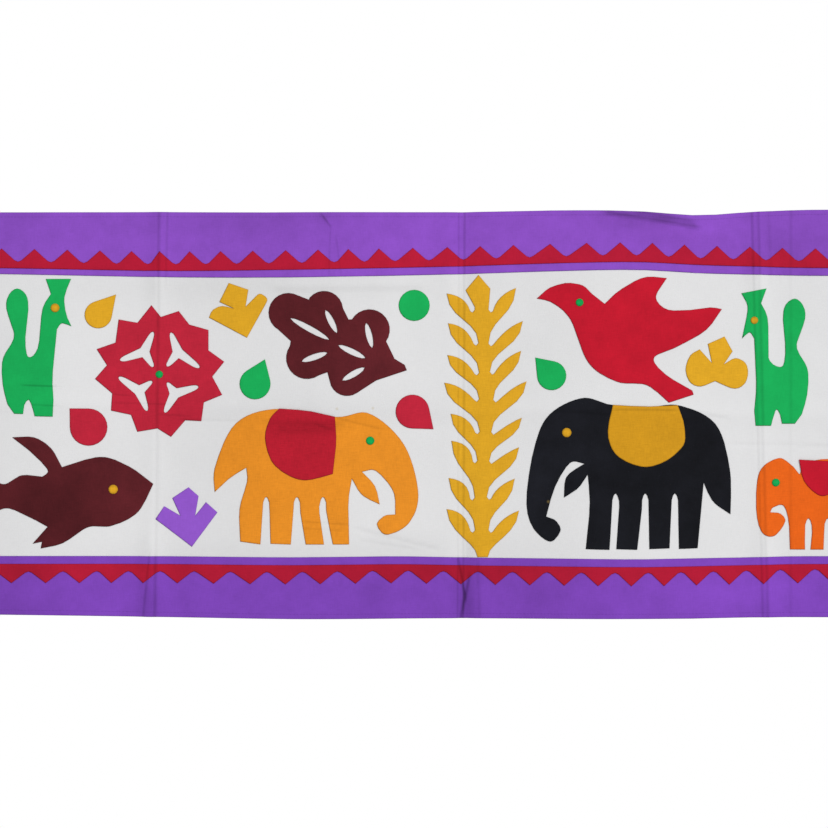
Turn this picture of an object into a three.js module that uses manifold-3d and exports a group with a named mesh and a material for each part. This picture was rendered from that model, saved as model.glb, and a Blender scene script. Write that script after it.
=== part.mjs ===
// Applique wall hanging: a frieze of animals, leaves and sprigs cut from plain cotton and sewn to a
// white panel, between two purple bands with red sawtooth strips.
// Millimetres. The origin is the middle of the top edge, +X runs to the viewer's right, +Z is up and the
// front faces -Y. Every outline is drawn from the front, across the cloth and up or down it.
import * as THREE from 'three';
import { mergeVertices } from 'three/addons/utils/BufferGeometryUtils.js';
import Module from 'manifold-3d';

const wasm = await Module();
wasm.setup();

// Size of the cloth, and of the layers that it is made of
const WIDTH = 1397;
const HEIGHT = 600;
const TOP_BAND = 94;
const BOTTOM_BAND = 90;
const LAP = 10; // how far the white panel runs in under each band
const THICK = 1; // one layer of cloth
const GAP = 0.3; // between one layer and the next
const PANEL_LAYER = 0;
const PATCH_LAYER = 1;
const TOP_LAYER = 2;

// How finely outlines are drawn
const CURVE_STEPS = 6; // points tried for each point of a curve
const FLATNESS = 0.3; // how far a straight line may lie from the curve that it stands for
const ARC_STEP = 15; // degrees
const EDGE_STEP = 35; // from one point of a band's edge to the next

const COLOURS = {
  white: 0xe2e2e1,
  purple: 0x8b51c2,
  red: 0xab1b36,
  crimson: 0xc0263a,
  green: 0x21ae5c,
  mustard: 0xdca52d,
  amber: 0xe3902e,
  orange: 0xe86420,
  maroon: 0x5c2227,
  black: 0x1e1f24,
};

// Long edges and seams: how far each hangs below its straight line, at stations across the cloth
const STATIONS = [-699, -598, -407, -225, -48, 48, 188, 307, 395, 454, 543, 699];
const EDGES = {
  top: { down: 0, drop: [1, 1, 0, 1, 0, 0, -2, 0, 5, 1, -3, -2] },
  topSeam: { down: TOP_BAND, drop: [-3, -1.5, 2, 3, 0, -2.5, -6.5, -8, -3.5, -2, 0, 1] },
  bottomSeam: { down: HEIGHT - BOTTOM_BAND, drop: [-2, -2, -1, 0, -1, 1, 2, 3, 2, 1, -1, -1] },
  bottom: { down: HEIGHT, drop: [-6, -5, -1, 1, 1, 1, 1, 1, 1, 0, -1, -1] },
};

// How far the top strip stands off its even distance from the seam, at the same stations
const TOP_STRIP_LIFT = [0, 0, 0.5, 2.5, 3, 3, 3, 3, 3.5, 3.5, 3, 3];

// Sawtooth strips: a straight base near the seam, and teeth that point away from the white panel.
// The bottom strip's valleys stand nearer to its base towards the right.
const STRIPS = {
  top: { base: 8.5, valley: 18.5, valleyLean: 0, tip: 37.5, pitch: 48.1, first: -684, teeth: 29 },
  bottom: { base: 11.5, valley: 21, valleyLean: -0.003, tip: 40, pitch: 50.4, first: -671, teeth: 28 },
};
// How far a tooth stands to the right of an even pitch
const TOOTH_DRIFT = [
  { tooth: 0, top: 0, bottom: 0 },
  { tooth: 3, top: 0.5, bottom: -1.5 },
  { tooth: 5, top: -1.5, bottom: -9 },
  { tooth: 6, top: -8, bottom: -9 },
  { tooth: 8, top: -14, bottom: -1.5 },
  { tooth: 11, top: -14, bottom: 3 },
  { tooth: 13, top: -20.5, bottom: 7 },
  { tooth: 15, top: -15.5, bottom: 8 },
  { tooth: 17, top: -14, bottom: 8.5 },
  { tooth: 19, top: -2.5, bottom: 6.5 },
  { tooth: 22, top: -2, bottom: 1.5 },
  { tooth: 25, top: -1, bottom: 2 },
  { tooth: 29, top: 0, bottom: 0 },
];
const VALLEY = { half: 5, depth: 2 };

// Folds that stand forward of the cloth's plane, or back from it where the rise is negative
const CREASES = [
  { name: 'left', x: -404, lean: -16, rise: 3.5, reach: 24 },
  { name: 'middle', x: 45, lean: 3, rise: -4, reach: 24 },
  { name: 'right', x: 478, lean: 18, rise: 3.5, reach: 24 },
];
const CROSS_CREASE = { down: 293, slope: 0.0155, rise: 1.5, reach: 24 };
// The panel is one layer and the bands are two, so a crease flattens out between them
const SOFTENS = { to: 0.35, over: 60 };
const SWELL = { period: 442, peak: -180, atTop: 4, atBottom: 7 };
const SAG_FOLD = { x: 318, down: 14, slope: 0.17, rise: 9, across: 95, reach: 30 };

// A crest with soft feet: 1 on the fold, 0 at its reach
function ridge(distance, reach) {
  return Math.max(0, 1 - Math.abs(distance) / reach) ** 2;
}

// The part of a crease's rise that is left at a depth: all of it on the bands, less between them
function stiffness(down) {
  const fromTop = THREE.MathUtils.smoothstep(down, TOP_BAND, TOP_BAND + SOFTENS.over);
  const fromBottom = THREE.MathUtils.smoothstep(HEIGHT - down, BOTTOM_BAND, BOTTOM_BAND + SOFTENS.over);
  return 1 - (1 - SOFTENS.to) * Math.min(fromTop, fromBottom);
}

// How far the back of the white panel stands forward of the plane that it hangs in
function forward(x, down) {
  let sum = 0;
  const stiff = stiffness(down);
  for (const crease of CREASES) {
    const line = crease.x + (crease.lean * down) / HEIGHT;
    sum += stiff * crease.rise * ridge(x - line, crease.reach);
  }
  const crossLine = CROSS_CREASE.down + CROSS_CREASE.slope * x;
  sum += CROSS_CREASE.rise * ridge(down - crossLine, CROSS_CREASE.reach);
  const swell = THREE.MathUtils.lerp(SWELL.atTop, SWELL.atBottom, down / HEIGHT);
  sum += swell * Math.cos((2 * Math.PI * (x - SWELL.peak)) / SWELL.period);
  const sagLine = SAG_FOLD.down + SAG_FOLD.slope * (x - SAG_FOLD.x);
  const sagAcross = Math.exp(-(((x - SAG_FOLD.x) / SAG_FOLD.across) ** 2));
  sum += SAG_FOLD.rise * sagAcross * ridge(down - sagLine, SAG_FOLD.reach);
  return sum;
}

// The grid of facets that the folds are drawn with: columns lean with the creases
const CREASE_STEPS = [-1, 0, 1]; // columns and rows beside a crease, in parts of its reach
const PLAIN_COLUMNS = [-740, -610, -515, -300, -180, -70, 160, 250, 318, 390, 600, 740];
const PLAIN_ROWS = [-30, 6, 40, 94, 154, 210, 400, 450, 510, 640];

function gridColumns() {
  const columns = PLAIN_COLUMNS.map((x) => ({ x, lean: 0 }));
  for (const crease of CREASES) {
    for (const step of CREASE_STEPS) {
      columns.push({ x: crease.x + step * crease.reach, lean: crease.lean });
    }
  }
  return columns.sort((a, b) => a.x - b.x);
}

function gridRows() {
  const rows = PLAIN_ROWS.map((down) => ({ down, slope: 0 }));
  for (const step of CREASE_STEPS) {
    rows.push({ down: CROSS_CREASE.down + step * CROSS_CREASE.reach, slope: CROSS_CREASE.slope });
  }
  return rows.sort((a, b) => a.down - b.down);
}

const BEHIND = 60; // how far behind its folded face the cutting block reaches

// A block whose front face has the cloth's folds; moved along Y, it cuts every layer parallel
function foldedBlock() {
  const columns = gridColumns();
  const rows = gridRows();
  const block = new THREE.BoxGeometry(1, 1, 1, columns.length - 1, 1, rows.length - 1);
  const position = block.attributes.position;
  for (let i = 0; i < position.count; i += 1) {
    const column = columns[Math.round((position.getX(i) + 0.5) * (columns.length - 1))];
    const row = rows[Math.round((0.5 - position.getZ(i)) * (rows.length - 1))];
    const x = column.x + (column.lean * row.down) / HEIGHT;
    const down = row.down + row.slope * x;
    const y = position.getY(i) < 0 ? -forward(x, down) : BEHIND;
    position.setXYZ(i, x, y, -down);
  }
  return block;
}

// Solids: a prism with a piece's outline, cut to one layer of the folded cloth
function solidOf(geometry) {
  geometry.deleteAttribute('normal');
  geometry.deleteAttribute('uv');
  const merged = mergeVertices(geometry);
  const mesh = new wasm.Mesh({
    numProp: 3,
    vertProperties: merged.attributes.position.array,
    triVerts: Uint32Array.from(merged.index.array),
  });
  return new wasm.Manifold(mesh);
}

const folded = foldedBlock();
const layerBlocks = new Map();

// The folded block moved forward by a distance
function blockAt(distance) {
  if (!layerBlocks.has(distance)) {
    layerBlocks.set(distance, solidOf(folded.clone().translate(0, -distance, 0)));
  }
  return layerBlocks.get(distance);
}

function layerSolid(outline, layer) {
  const prism = new THREE.ExtrudeGeometry(outline, { depth: 2 * BEHIND, bevelEnabled: false });
  prism.rotateX(Math.PI / 2);
  prism.translate(0, BEHIND, 0);
  const back = layer * (THICK + GAP);
  return solidOf(prism).intersect(blockAt(back + THICK)).subtract(blockAt(back));
}

const hanging = new THREE.Group();
hanging.name = 'applique_wall_hanging';

function sew(name, colour, outline, layer) {
  const cut = layerSolid(outline, layer).getMesh();
  const geometry = new THREE.BufferGeometry();
  geometry.setAttribute('position', new THREE.BufferAttribute(cut.vertProperties, 3));
  geometry.setIndex(new THREE.BufferAttribute(cut.triVerts, 1));
  geometry.computeVertexNormals();
  const material = new THREE.MeshStandardMaterial({ color: COLOURS[colour], roughness: 0.9, metalness: 0 });
  const piece = new THREE.Mesh(geometry, material);
  piece.name = name;
  hanging.add(piece);
}

// Outlines through named points: straight between corners, and a smooth curve through the rest.
// The first row of a table is a corner.
function cutOutline(rows) {
  const shape = new THREE.Shape();
  shape.moveTo(rows[0].x, rows[0].y);
  let curve = [];
  for (const row of [...rows.slice(1), rows[0]]) {
    curve.push(new THREE.Vector2(row.x, row.y));
    if (row.corner) {
      if (curve.length === 1) {
        shape.lineTo(row.x, row.y);
      } else {
        shape.splineThru(curve);
      }
      curve = [];
    }
  }
  return shape;
}

// Leaves out the points that lie almost on the line between their neighbours
function thinned(points) {
  const kept = [points[0]];
  const line = new THREE.Line3();
  const nearest = new THREE.Vector3();
  let start = 0;
  for (let end = 2; end < points.length; end += 1) {
    line.start.set(points[start].x, points[start].y, 0);
    line.end.set(points[end].x, points[end].y, 0);
    const isFlat = points.slice(start + 1, end).every((point) => {
      const spot = new THREE.Vector3(point.x, point.y, 0);
      return line.closestPointToPoint(spot, true, nearest).distanceTo(spot) < FLATNESS;
    });
    if (!isFlat) {
      start = end - 1;
      kept.push(points[start]);
    }
  }
  kept.push(points.at(-1));
  return kept;
}

// A point at a distance from another, in the direction of an angle in degrees
function polar(from, turn, length) {
  const radians = THREE.MathUtils.degToRad(turn);
  return new THREE.Vector2(Math.cos(radians), Math.sin(radians)).multiplyScalar(length).add(from);
}

// Points along an arc, in degrees from one end to the other
function arc({ x, y, r, from, to }) {
  const middle = new THREE.Vector2(x, y);
  const steps = Math.ceil((to - from) / ARC_STEP);
  return Array.from({ length: steps + 1 }, (_, i) => polar(middle, from + ((to - from) * i) / steps, r));
}

// Puts a motif's own origin at a place on the cloth, turned by degrees, and mirrored if it faces left
function place(shape, { x, down, turn = 0, facing = 'right' }) {
  const side = facing === 'left' ? -1 : 1;
  const spot = new THREE.Vector2(x, -down);
  const angle = THREE.MathUtils.degToRad(turn);
  const middle = new THREE.Vector2();
  const put = (point) => new THREE.Vector2(side * point.x, point.y).rotateAround(middle, angle).add(spot);
  const cut = shape.extractPoints(CURVE_STEPS);
  const outline = new THREE.Shape(thinned(cut.shape).map(put));
  outline.holes = cut.holes.map((hole) => new THREE.Path(thinned(hole).map(put)));
  return outline;
}

// Panel, bands and sawtooth strips
function smoothTable(at, values) {
  const curve = new THREE.CubicInterpolant(at, values, 1);
  return (x) => curve.evaluate(THREE.MathUtils.clamp(x, at[0], at.at(-1)))[0];
}

function edgeLine(edge) {
  const drop = smoothTable(STATIONS, edge.drop);
  return (x) => -(edge.down + drop(x));
}

const topLine = edgeLine(EDGES.top);
const topSeamLine = edgeLine(EDGES.topSeam);
const bottomSeamLine = edgeLine(EDGES.bottomSeam);
const bottomLine = edgeLine(EDGES.bottom);

function alongLine(line, lift) {
  const points = [];
  const steps = Math.ceil(WIDTH / EDGE_STEP);
  for (let i = 0; i <= steps; i += 1) {
    const x = (i / steps - 0.5) * WIDTH;
    points.push(new THREE.Vector2(x, line(x) + lift));
  }
  return points;
}

function between(upper, lower, upperLift = 0, lowerLift = 0) {
  return new THREE.Shape([...alongLine(upper, upperLift), ...alongLine(lower, lowerLift).reverse()]);
}

// A tooth's tip is sharp, and the valley beside it has a soft bottom
function sawtooth(strip, seam, away, driftOf) {
  const teeth = [];
  const end = WIDTH / 2;
  for (let i = 0; i < strip.teeth; i += 1) {
    const tip = strip.first + strip.pitch * i + driftOf(i);
    const valley = tip + strip.pitch / 2;
    const valleyReach = strip.valley + strip.valleyLean * valley;
    teeth.push(new THREE.Vector2(tip, seam(tip) + away * strip.tip));
    for (const side of [-1, 0, 1]) {
      const x = valley + side * VALLEY.half;
      const reach = valleyReach + Math.abs(side) * VALLEY.depth;
      teeth.push(new THREE.Vector2(x, seam(x) + away * reach));
    }
  }
  const inside = teeth.filter((tooth) => Math.abs(tooth.x) < end - VALLEY.half);
  const rightValley = new THREE.Vector2(end, seam(end) + away * strip.valley);
  const leftValley = new THREE.Vector2(-end, seam(-end) + away * strip.valley);
  const base = alongLine(seam, away * strip.base).reverse();
  return new THREE.Shape([leftValley, ...inside, rightValley, ...base]);
}

const driftAt = TOOTH_DRIFT.map((row) => row.tooth);
const topDrift = smoothTable(driftAt, TOOTH_DRIFT.map((row) => row.top));
const bottomDrift = smoothTable(driftAt, TOOTH_DRIFT.map((row) => row.bottom));
const topStripLift = smoothTable(STATIONS, TOP_STRIP_LIFT);
const topStripLine = (x) => topSeamLine(x) + topStripLift(x);
const topStrip = sawtooth(STRIPS.top, topStripLine, 1, topDrift);
const bottomStrip = sawtooth(STRIPS.bottom, bottomSeamLine, -1, bottomDrift);

sew('white_panel', 'white', between(topSeamLine, bottomSeamLine, LAP, -LAP), PANEL_LAYER);
sew('top_band', 'purple', between(topLine, topSeamLine), PATCH_LAYER);
sew('bottom_band', 'purple', between(bottomSeamLine, bottomLine), PATCH_LAYER);
sew('top_sawtooth', 'red', topStrip, TOP_LAYER);
sew('bottom_sawtooth', 'red', bottomStrip, TOP_LAYER);

// Elephants, facing right, from the tail's side and the foot line. The feet come from a table of
// their ends, with a slot as high as the belly between each two.
const SLOT_ENDS = [
  { half: 5.2, under: 24 },
  { half: 4.4, under: 8 },
];

function elephant({ feet, slot, body }) {
  const rows = [];
  for (const [i, foot] of feet.entries()) {
    if (i > 0) {
      const middle = (feet[i - 1].to + foot.from) / 2 + foot.slotShift;
      const left = SLOT_ENDS.map(({ half, under }) => ({ x: middle - half, y: slot - under }));
      const right = SLOT_ENDS.map(({ half, under }) => ({ x: middle + half, y: slot - under }));
      rows.push(...left, { x: middle, y: slot }, ...right.reverse());
    }
    rows.push({ x: foot.from, y: foot.lift, corner: true });
    rows.push({ x: foot.to, y: 0, corner: true });
  }
  return cutOutline([...rows, ...body]);
}

const AMBER_ELEPHANT = {
  slot: 70,
  feet: [
    { from: 39, to: 69, lift: 4 },
    { from: 84, to: 114, lift: 1, slotShift: 1 },
    { from: 136, to: 163, lift: 0, slotShift: -2 },
    { from: 176, to: 200, lift: 0, slotShift: -8 },
  ],
  body: [
    { part: 'front of the foreleg', x: 199, y: 62 },
    { part: 'chest', x: 204, y: 97, corner: true },
    { part: 'under the tusk', x: 219, y: 73 },
    { part: 'tip of the tusk', x: 245, y: 59, corner: true },
    { part: 'top of the tusk', x: 238, y: 86 },
    { part: 'mouth', x: 219, y: 107, corner: true },
    { part: 'start of the trunk', x: 240, y: 108 },
    { part: 'inside of the trunk', x: 265, y: 78 },
    { part: 'crook of the trunk', x: 268, y: 44, corner: true },
    { part: 'top of the trunk end', x: 252, y: 42 },
    { part: 'trunk end', x: 241, y: 29 },
    { part: 'bottom of the trunk end', x: 256, y: 14 },
    { part: 'bend of the trunk', x: 289, y: 32 },
    { part: 'front of the trunk', x: 302, y: 76 },
    { part: 'forehead', x: 281, y: 147 },
    { part: 'crown', x: 230, y: 193 },
    { part: 'nape', x: 180, y: 188 },
    { part: 'back', x: 94, y: 200 },
    { part: 'croup', x: 33, y: 179 },
    { part: 'top of the tail', x: 2, y: 116 },
    { part: 'tip of the tail', x: 1, y: 77, corner: true },
    { part: 'inside of the tail', x: 24, y: 98 },
    { part: 'under the tail', x: 48, y: 113, corner: true },
    { part: 'rump', x: 49, y: 92 },
    { part: 'thigh', x: 38, y: 52 },
  ],
};
const AMBER_SADDLE = [
  { part: 'top at the back', x: 97, y: 200.5, corner: true },
  { part: 'shoulder at the back', x: 83, y: 185 },
  { part: 'side at the back', x: 76, y: 155 },
  { part: 'low at the back', x: 90, y: 117 },
  { part: 'bottom', x: 130, y: 95 },
  { part: 'low at the front', x: 176, y: 104, corner: true },
  { part: 'side at the front', x: 181, y: 150 },
  { part: 'top at the front', x: 179, y: 188.5, corner: true },
  { part: 'middle of the top', x: 140, y: 197 },
];

const BLACK_ELEPHANT = {
  slot: 82,
  feet: [
    { from: 49, to: 77, lift: 1 },
    { from: 91, to: 121, lift: 1, slotShift: -1 },
    { from: 139, to: 170, lift: -1, slotShift: -3 },
    { from: 180, to: 215, lift: -1, slotShift: -4 },
  ],
  body: [
    { part: 'front of the foreleg', x: 209, y: 64 },
    { part: 'chest', x: 212, y: 110, corner: true },
    { part: 'under the tusk', x: 226, y: 90 },
    { part: 'tip of the tusk', x: 247, y: 76, corner: true },
    { part: 'elbow of the tusk', x: 243, y: 107 },
    { part: 'mouth', x: 217, y: 126, corner: true },
    { part: 'start of the trunk', x: 238, y: 127 },
    { part: 'inside of the trunk', x: 260, y: 92 },
    { part: 'crook of the trunk', x: 273, y: 48, corner: true },
    { part: 'top of the trunk end', x: 259, y: 42 },
    { part: 'trunk end', x: 252, y: 27 },
    { part: 'bottom of the trunk end', x: 268, y: 11 },
    { part: 'bend of the trunk', x: 294, y: 34 },
    { part: 'front of the trunk', x: 302, y: 76 },
    { part: 'forehead', x: 290, y: 152 },
    { part: 'brow', x: 268, y: 199 },
    { part: 'crown', x: 220, y: 223 },
    { part: 'nape', x: 178, y: 213 },
    { part: 'middle of the back', x: 127, y: 209 },
    { part: 'back', x: 76, y: 212 },
    { part: 'croup', x: 22, y: 184 },
    { part: 'top of the tail', x: 1, y: 118 },
    { part: 'tip of the tail', x: 0, y: 51, corner: true },
    { part: 'inside of the tail', x: 26, y: 70 },
    { part: 'under the tail', x: 40, y: 98, corner: true },
    { part: 'thigh', x: 44, y: 56 },
  ],
};
const BLACK_SADDLE = [
  { part: 'top at the front', x: 175, y: 213, corner: true },
  { part: 'side at the front', x: 181, y: 188 },
  { part: 'low at the front', x: 182, y: 164 },
  { part: 'round of the front', x: 172, y: 141 },
  { part: 'under the front', x: 151, y: 127 },
  { part: 'bottom', x: 125, y: 121 },
  { part: 'under the back', x: 98, y: 129 },
  { part: 'round of the back', x: 77, y: 145 },
  { part: 'low at the back', x: 68, y: 160 },
  { part: 'side at the back', x: 70, y: 187 },
  { part: 'top at the back', x: 79, y: 212.5, corner: true },
  { part: 'middle of the top', x: 127, y: 210.5 },
];

const ORANGE_ELEPHANT = {
  slot: 46,
  feet: [
    { from: 28, to: 47, lift: 1 },
    { from: 56, to: 75, lift: 0, slotShift: 0 },
    { from: 85, to: 104, lift: 0, slotShift: -1 },
    { from: 112, to: 134, lift: 0, slotShift: -1 },
  ],
  body: [
    { part: 'front of the foreleg', x: 136, y: 42 },
    { part: 'inside of the trunk', x: 144, y: 65 },
    { part: 'top of the crook', x: 159, y: 62 },
    { part: 'crook of the trunk', x: 163, y: 55, corner: true },
    { part: 'top of the trunk end', x: 148, y: 53 },
    { part: 'trunk end', x: 141, y: 41 },
    { part: 'bottom of the trunk end', x: 157, y: 20 },
    { part: 'bend of the trunk', x: 176, y: 26 },
    { part: 'front of the trunk', x: 184, y: 62 },
    { part: 'forehead', x: 179, y: 115 },
    { part: 'crown', x: 152, y: 135 },
    { part: 'behind the crown', x: 133, y: 126 },
    { part: 'nape', x: 120, y: 111, corner: true },
    { part: 'withers', x: 108, y: 129 },
    { part: 'back', x: 66, y: 133 },
    { part: 'croup', x: 16, y: 112 },
    { part: 'top of the tail', x: 1, y: 72 },
    { part: 'tip of the tail', x: 0, y: 34, corner: true },
    { part: 'inside of the tail', x: 16, y: 45 },
    { part: 'under the tail', x: 25, y: 61, corner: true },
    { part: 'thigh', x: 26, y: 36 },
  ],
};
const ORANGE_SADDLE = [
  { part: 'top at the front', x: 121, y: 133, corner: true },
  { part: 'low at the front', x: 113, y: 100 },
  { part: 'bottom', x: 86, y: 79 },
  { part: 'low at the back', x: 57, y: 101 },
  { part: 'top at the back', x: 60, y: 130, corner: true },
];

const AMBER_PLACE = { x: -323, down: 491 };
const BLACK_PLACE = { x: 441, down: 498, facing: 'left' };
const ORANGE_PLACE = { x: 663, down: 499, facing: 'left' };
sew('elephant_amber', 'amber', place(elephant(AMBER_ELEPHANT), AMBER_PLACE), PATCH_LAYER);
sew('elephant_black', 'black', place(elephant(BLACK_ELEPHANT), BLACK_PLACE), PATCH_LAYER);
sew('elephant_orange', 'orange', place(elephant(ORANGE_ELEPHANT), ORANGE_PLACE), PATCH_LAYER);
sew('saddle_amber_elephant', 'crimson', place(cutOutline(AMBER_SADDLE), AMBER_PLACE), TOP_LAYER);
sew('saddle_black_elephant', 'mustard', place(cutOutline(BLACK_SADDLE), BLACK_PLACE), TOP_LAYER);
sew('saddle_orange_elephant', 'crimson', place(cutOutline(ORANGE_SADDLE), ORANGE_PLACE), TOP_LAYER);

// Peacocks, facing right, from the rump and the foot line
const PEACOCK = [
  { part: 'front toe', x: 74, y: 0, corner: true },
  { part: 'front hock', x: 76, y: 22, corner: true },
  { part: 'breast', x: 73, y: 60 },
  { part: 'throat', x: 76, y: 129, corner: true },
  { part: 'under the beak', x: 83, y: 138 },
  { part: 'tip of the beak', x: 94, y: 129, corner: true },
  { part: 'cheek', x: 89, y: 152 },
  { part: 'front of the crest', x: 86, y: 177 },
  { part: 'front tip of the crest', x: 95, y: 196, corner: true },
  { part: 'rear tip of the crest', x: 58, y: 203, corner: true },
  { part: 'rear of the crest', x: 66, y: 181, corner: true },
  { part: 'nape', x: 56, y: 158 },
  { part: 'neck', x: 55, y: 112 },
  { part: 'foot of the neck', x: 53.5, y: 97 },
  { part: 'back', x: 43, y: 88 },
  { part: 'root of the tail', x: 33, y: 90 },
  { part: 'neck of the tail', x: 30, y: 115 },
  { part: 'front of the tail', x: 33.5, y: 158 },
  { part: 'front shoulder of the tail', x: 29.5, y: 179 },
  { part: 'top of the tail', x: 16, y: 188 },
  { part: 'rear shoulder of the tail', x: 4, y: 178 },
  { part: 'rear of the tail', x: 1, y: 158 },
  { part: 'rear neck of the tail', x: 13, y: 122 },
  { part: 'rump', x: 10, y: 107, corner: true },
  { part: 'rear of the body', x: -3, y: 82 },
  { part: 'thigh', x: -2, y: 46 },
  { part: 'rear hock', x: 6, y: 17, corner: true },
  { part: 'rear toe', x: 16, y: 3, corner: true },
  { part: 'rear heel', x: 35, y: 3, corner: true },
  { part: 'arch at the rear', x: 38, y: 17 },
  { part: 'arch', x: 43, y: 24 },
  { part: 'arch at the front', x: 47, y: 16 },
  { part: 'front heel', x: 51, y: 0, corner: true },
];
// The left one has a level crest, a higher beak, a neck that leans back and a broader front leg
const LEFT_PEACOCK_OWN = [
  { part: 'front toe', x: 72.5, y: 0 },
  { part: 'front hock', x: 73.5, y: 22 },
  { part: 'breast', x: 71, y: 60 },
  { part: 'tip of the beak', x: 97, y: 134 },
  { part: 'front tip of the crest', x: 95, y: 204 },
  { part: 'nape', x: 54, y: 158 },
  { part: 'neck', x: 50.5, y: 112 },
  { part: 'foot of the neck', x: 47, y: 97 },
  { part: 'back', x: 40, y: 88 },
  { part: 'rear heel', x: 29, y: 3 },
  { part: 'arch at the rear', x: 31, y: 17 },
  { part: 'arch', x: 37, y: 24 },
  { part: 'arch at the front', x: 42, y: 15 },
  { part: 'front heel', x: 46, y: 0 },
];
const LEFT_PEACOCK = PEACOCK.map((row) => ({
  ...row,
  ...LEFT_PEACOCK_OWN.find((own) => own.part === row.part),
}));
const LEFT_PEACOCK_PLACE = { x: -633, down: 301, turn: -1.2 };
const RIGHT_PEACOCK_PLACE = { x: 552, down: 316, facing: 'left' };
sew('peacock_left', 'green', place(cutOutline(LEFT_PEACOCK), LEFT_PEACOCK_PLACE), PATCH_LAYER);
sew('peacock_right', 'green', place(cutOutline(PEACOCK), RIGHT_PEACOCK_PLACE), PATCH_LAYER);

// Fish, facing right, from the tail's end and the lowest fin
const FISH = [
  { part: 'nose', x: 253, y: 96, corner: true },
  { part: 'brow', x: 217, y: 122 },
  { part: 'back', x: 175, y: 136 },
  { part: 'behind the back', x: 119, y: 121, corner: true },
  { part: 'front of the upper fin', x: 103, y: 149 },
  { part: 'top of the upper fin', x: 78, y: 165 },
  { part: 'tip of the upper fin', x: 46, y: 165, corner: true },
  { part: 'under the upper fin', x: 74, y: 143 },
  { part: 'root of the upper fin', x: 98, y: 117 },
  { part: 'above the tail', x: 90, y: 107, corner: true },
  { part: 'upper side of the tail', x: 60, y: 109 },
  { part: 'narrow of the tail', x: 32, y: 96 },
  { part: 'upper tip of the tail', x: 3, y: 118, corner: true },
  { part: 'fork of the tail', x: 14, y: 78, corner: true },
  { part: 'lower tip of the tail', x: 1, y: 37, corner: true },
  { part: 'under the narrow', x: 34, y: 60 },
  { part: 'lower side of the tail', x: 66, y: 50 },
  { part: 'behind the lower fin', x: 98, y: 33, corner: true },
  { part: 'tip of the lower fin', x: 76, y: 8, corner: true },
  { part: 'nick in the lower fin', x: 90, y: 11, corner: true },
  { part: 'heel of the lower fin', x: 88, y: 1, corner: true },
  { part: 'front of the lower fin', x: 121, y: 9 },
  { part: 'under the belly', x: 157, y: 32 },
  { part: 'belly', x: 192, y: 34 },
  { part: 'jaw', x: 230, y: 54 },
];
sew('fish', 'maroon', place(cutOutline(FISH), { x: -666, down: 498 }), PATCH_LAYER);

// Bird in flight, facing left, from the beak and the end of the tail
const BIRD = [
  { part: 'tip of the beak', x: 0, y: 156, corner: true },
  { part: 'brow', x: 16, y: 170 },
  { part: 'front of the crown', x: 30, y: 176 },
  { part: 'crown', x: 47, y: 179 },
  { part: 'back of the head', x: 68, y: 175 },
  { part: 'nape', x: 81, y: 163 },
  { part: 'neck', x: 100, y: 148, corner: true },
  { part: 'front of the near wing', x: 122, y: 168 },
  { part: 'top of the near wing', x: 158, y: 187 },
  { part: 'tip of the near wing', x: 192, y: 186, corner: true },
  { part: 'behind the near wing', x: 176, y: 158 },
  { part: 'root of the far wing', x: 192, y: 140 },
  { part: 'top of the far wing', x: 225, y: 139 },
  { part: 'shoulder of the far wing', x: 256, y: 143 },
  { part: 'tip of the far wing', x: 274, y: 140.5, corner: true },
  { part: 'behind the far wing', x: 250, y: 109 },
  { part: 'under the far wing', x: 206, y: 84 },
  { part: 'above the tail', x: 173, y: 68 },
  { part: 'upper side of the tail', x: 190, y: 44 },
  { part: 'top of the tail', x: 230, y: 20, corner: true },
  { part: 'upper corner of the tail', x: 232, y: 14, corner: true },
  { part: 'lower corner of the tail', x: 195, y: 2, corner: true },
  { part: 'under the tail', x: 162, y: 28 },
  { part: 'belly', x: 118, y: 33 },
  { part: 'breast', x: 76, y: 61 },
  { part: 'throat', x: 50, y: 124 },
  { part: 'under the beak', x: 24, y: 149 },
];
sew('bird', 'crimson', place(cutOutline(BIRD), { x: 154, down: 284 }), PATCH_LAYER);

// Lobed leaf, from its left side and lowest lobe: five round lobes and a short square stalk,
// with six lens-shaped slits cut out
const LOBES = [
  { x: 149, y: 98, r: 30, from: -35, to: 150 },
  { x: 82, y: 127, r: 28, from: 5, to: 140 },
  { x: 29, y: 123, r: 29, from: 60, to: 240 },
  { x: 57, y: 56, r: 31, from: 145, to: 305 },
  { x: 116, y: 26, r: 26, from: 190, to: 305 },
];
const LEAF_NOTCHES = [
  { x: 118, y: 113 },
  { x: 60, y: 142 },
  { x: 33, y: 81 },
  { x: 87, y: 35 },
];
const STALK = [
  { x: 159, y: 23 },
  { x: 204, y: 38 },
  { x: 201, y: 46 },
  { x: 186, y: 55 },
];
const SLITS = [
  { x: 32, y: 115, toX: 90, toY: 83 },
  { x: 84, y: 127, toX: 101, toY: 93 },
  { x: 144, y: 108, toX: 153, toY: 71 },
  { x: 103, y: 75, toX: 143, toY: 56 },
  { x: 49, y: 51, toX: 87, toY: 64 },
  { x: 109, y: 23, toX: 142, toY: 42 },
];
const SLIT_WIDTH = 9;

// A cubic curve bows out by three quarters of the way to its two handles
const BOW = 0.75;

function slitOutline(slit) {
  const from = new THREE.Vector2(slit.x, slit.y);
  const to = new THREE.Vector2(slit.toX, slit.toY);
  const along = to.clone().sub(from).normalize();
  const side = new THREE.Vector2(-along.y, along.x).multiplyScalar(SLIT_WIDTH / 2 / BOW);
  const handle = (part, way) => from.clone().lerp(to, part).addScaledVector(side, way);
  const there = new THREE.CubicBezierCurve(from, handle(0.12, 1), handle(0.88, 1), to);
  const back = new THREE.CubicBezierCurve(to, handle(0.88, -1), handle(0.12, -1), from);
  const path = new THREE.Path();
  path.curves.push(there, back);
  return path;
}

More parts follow.
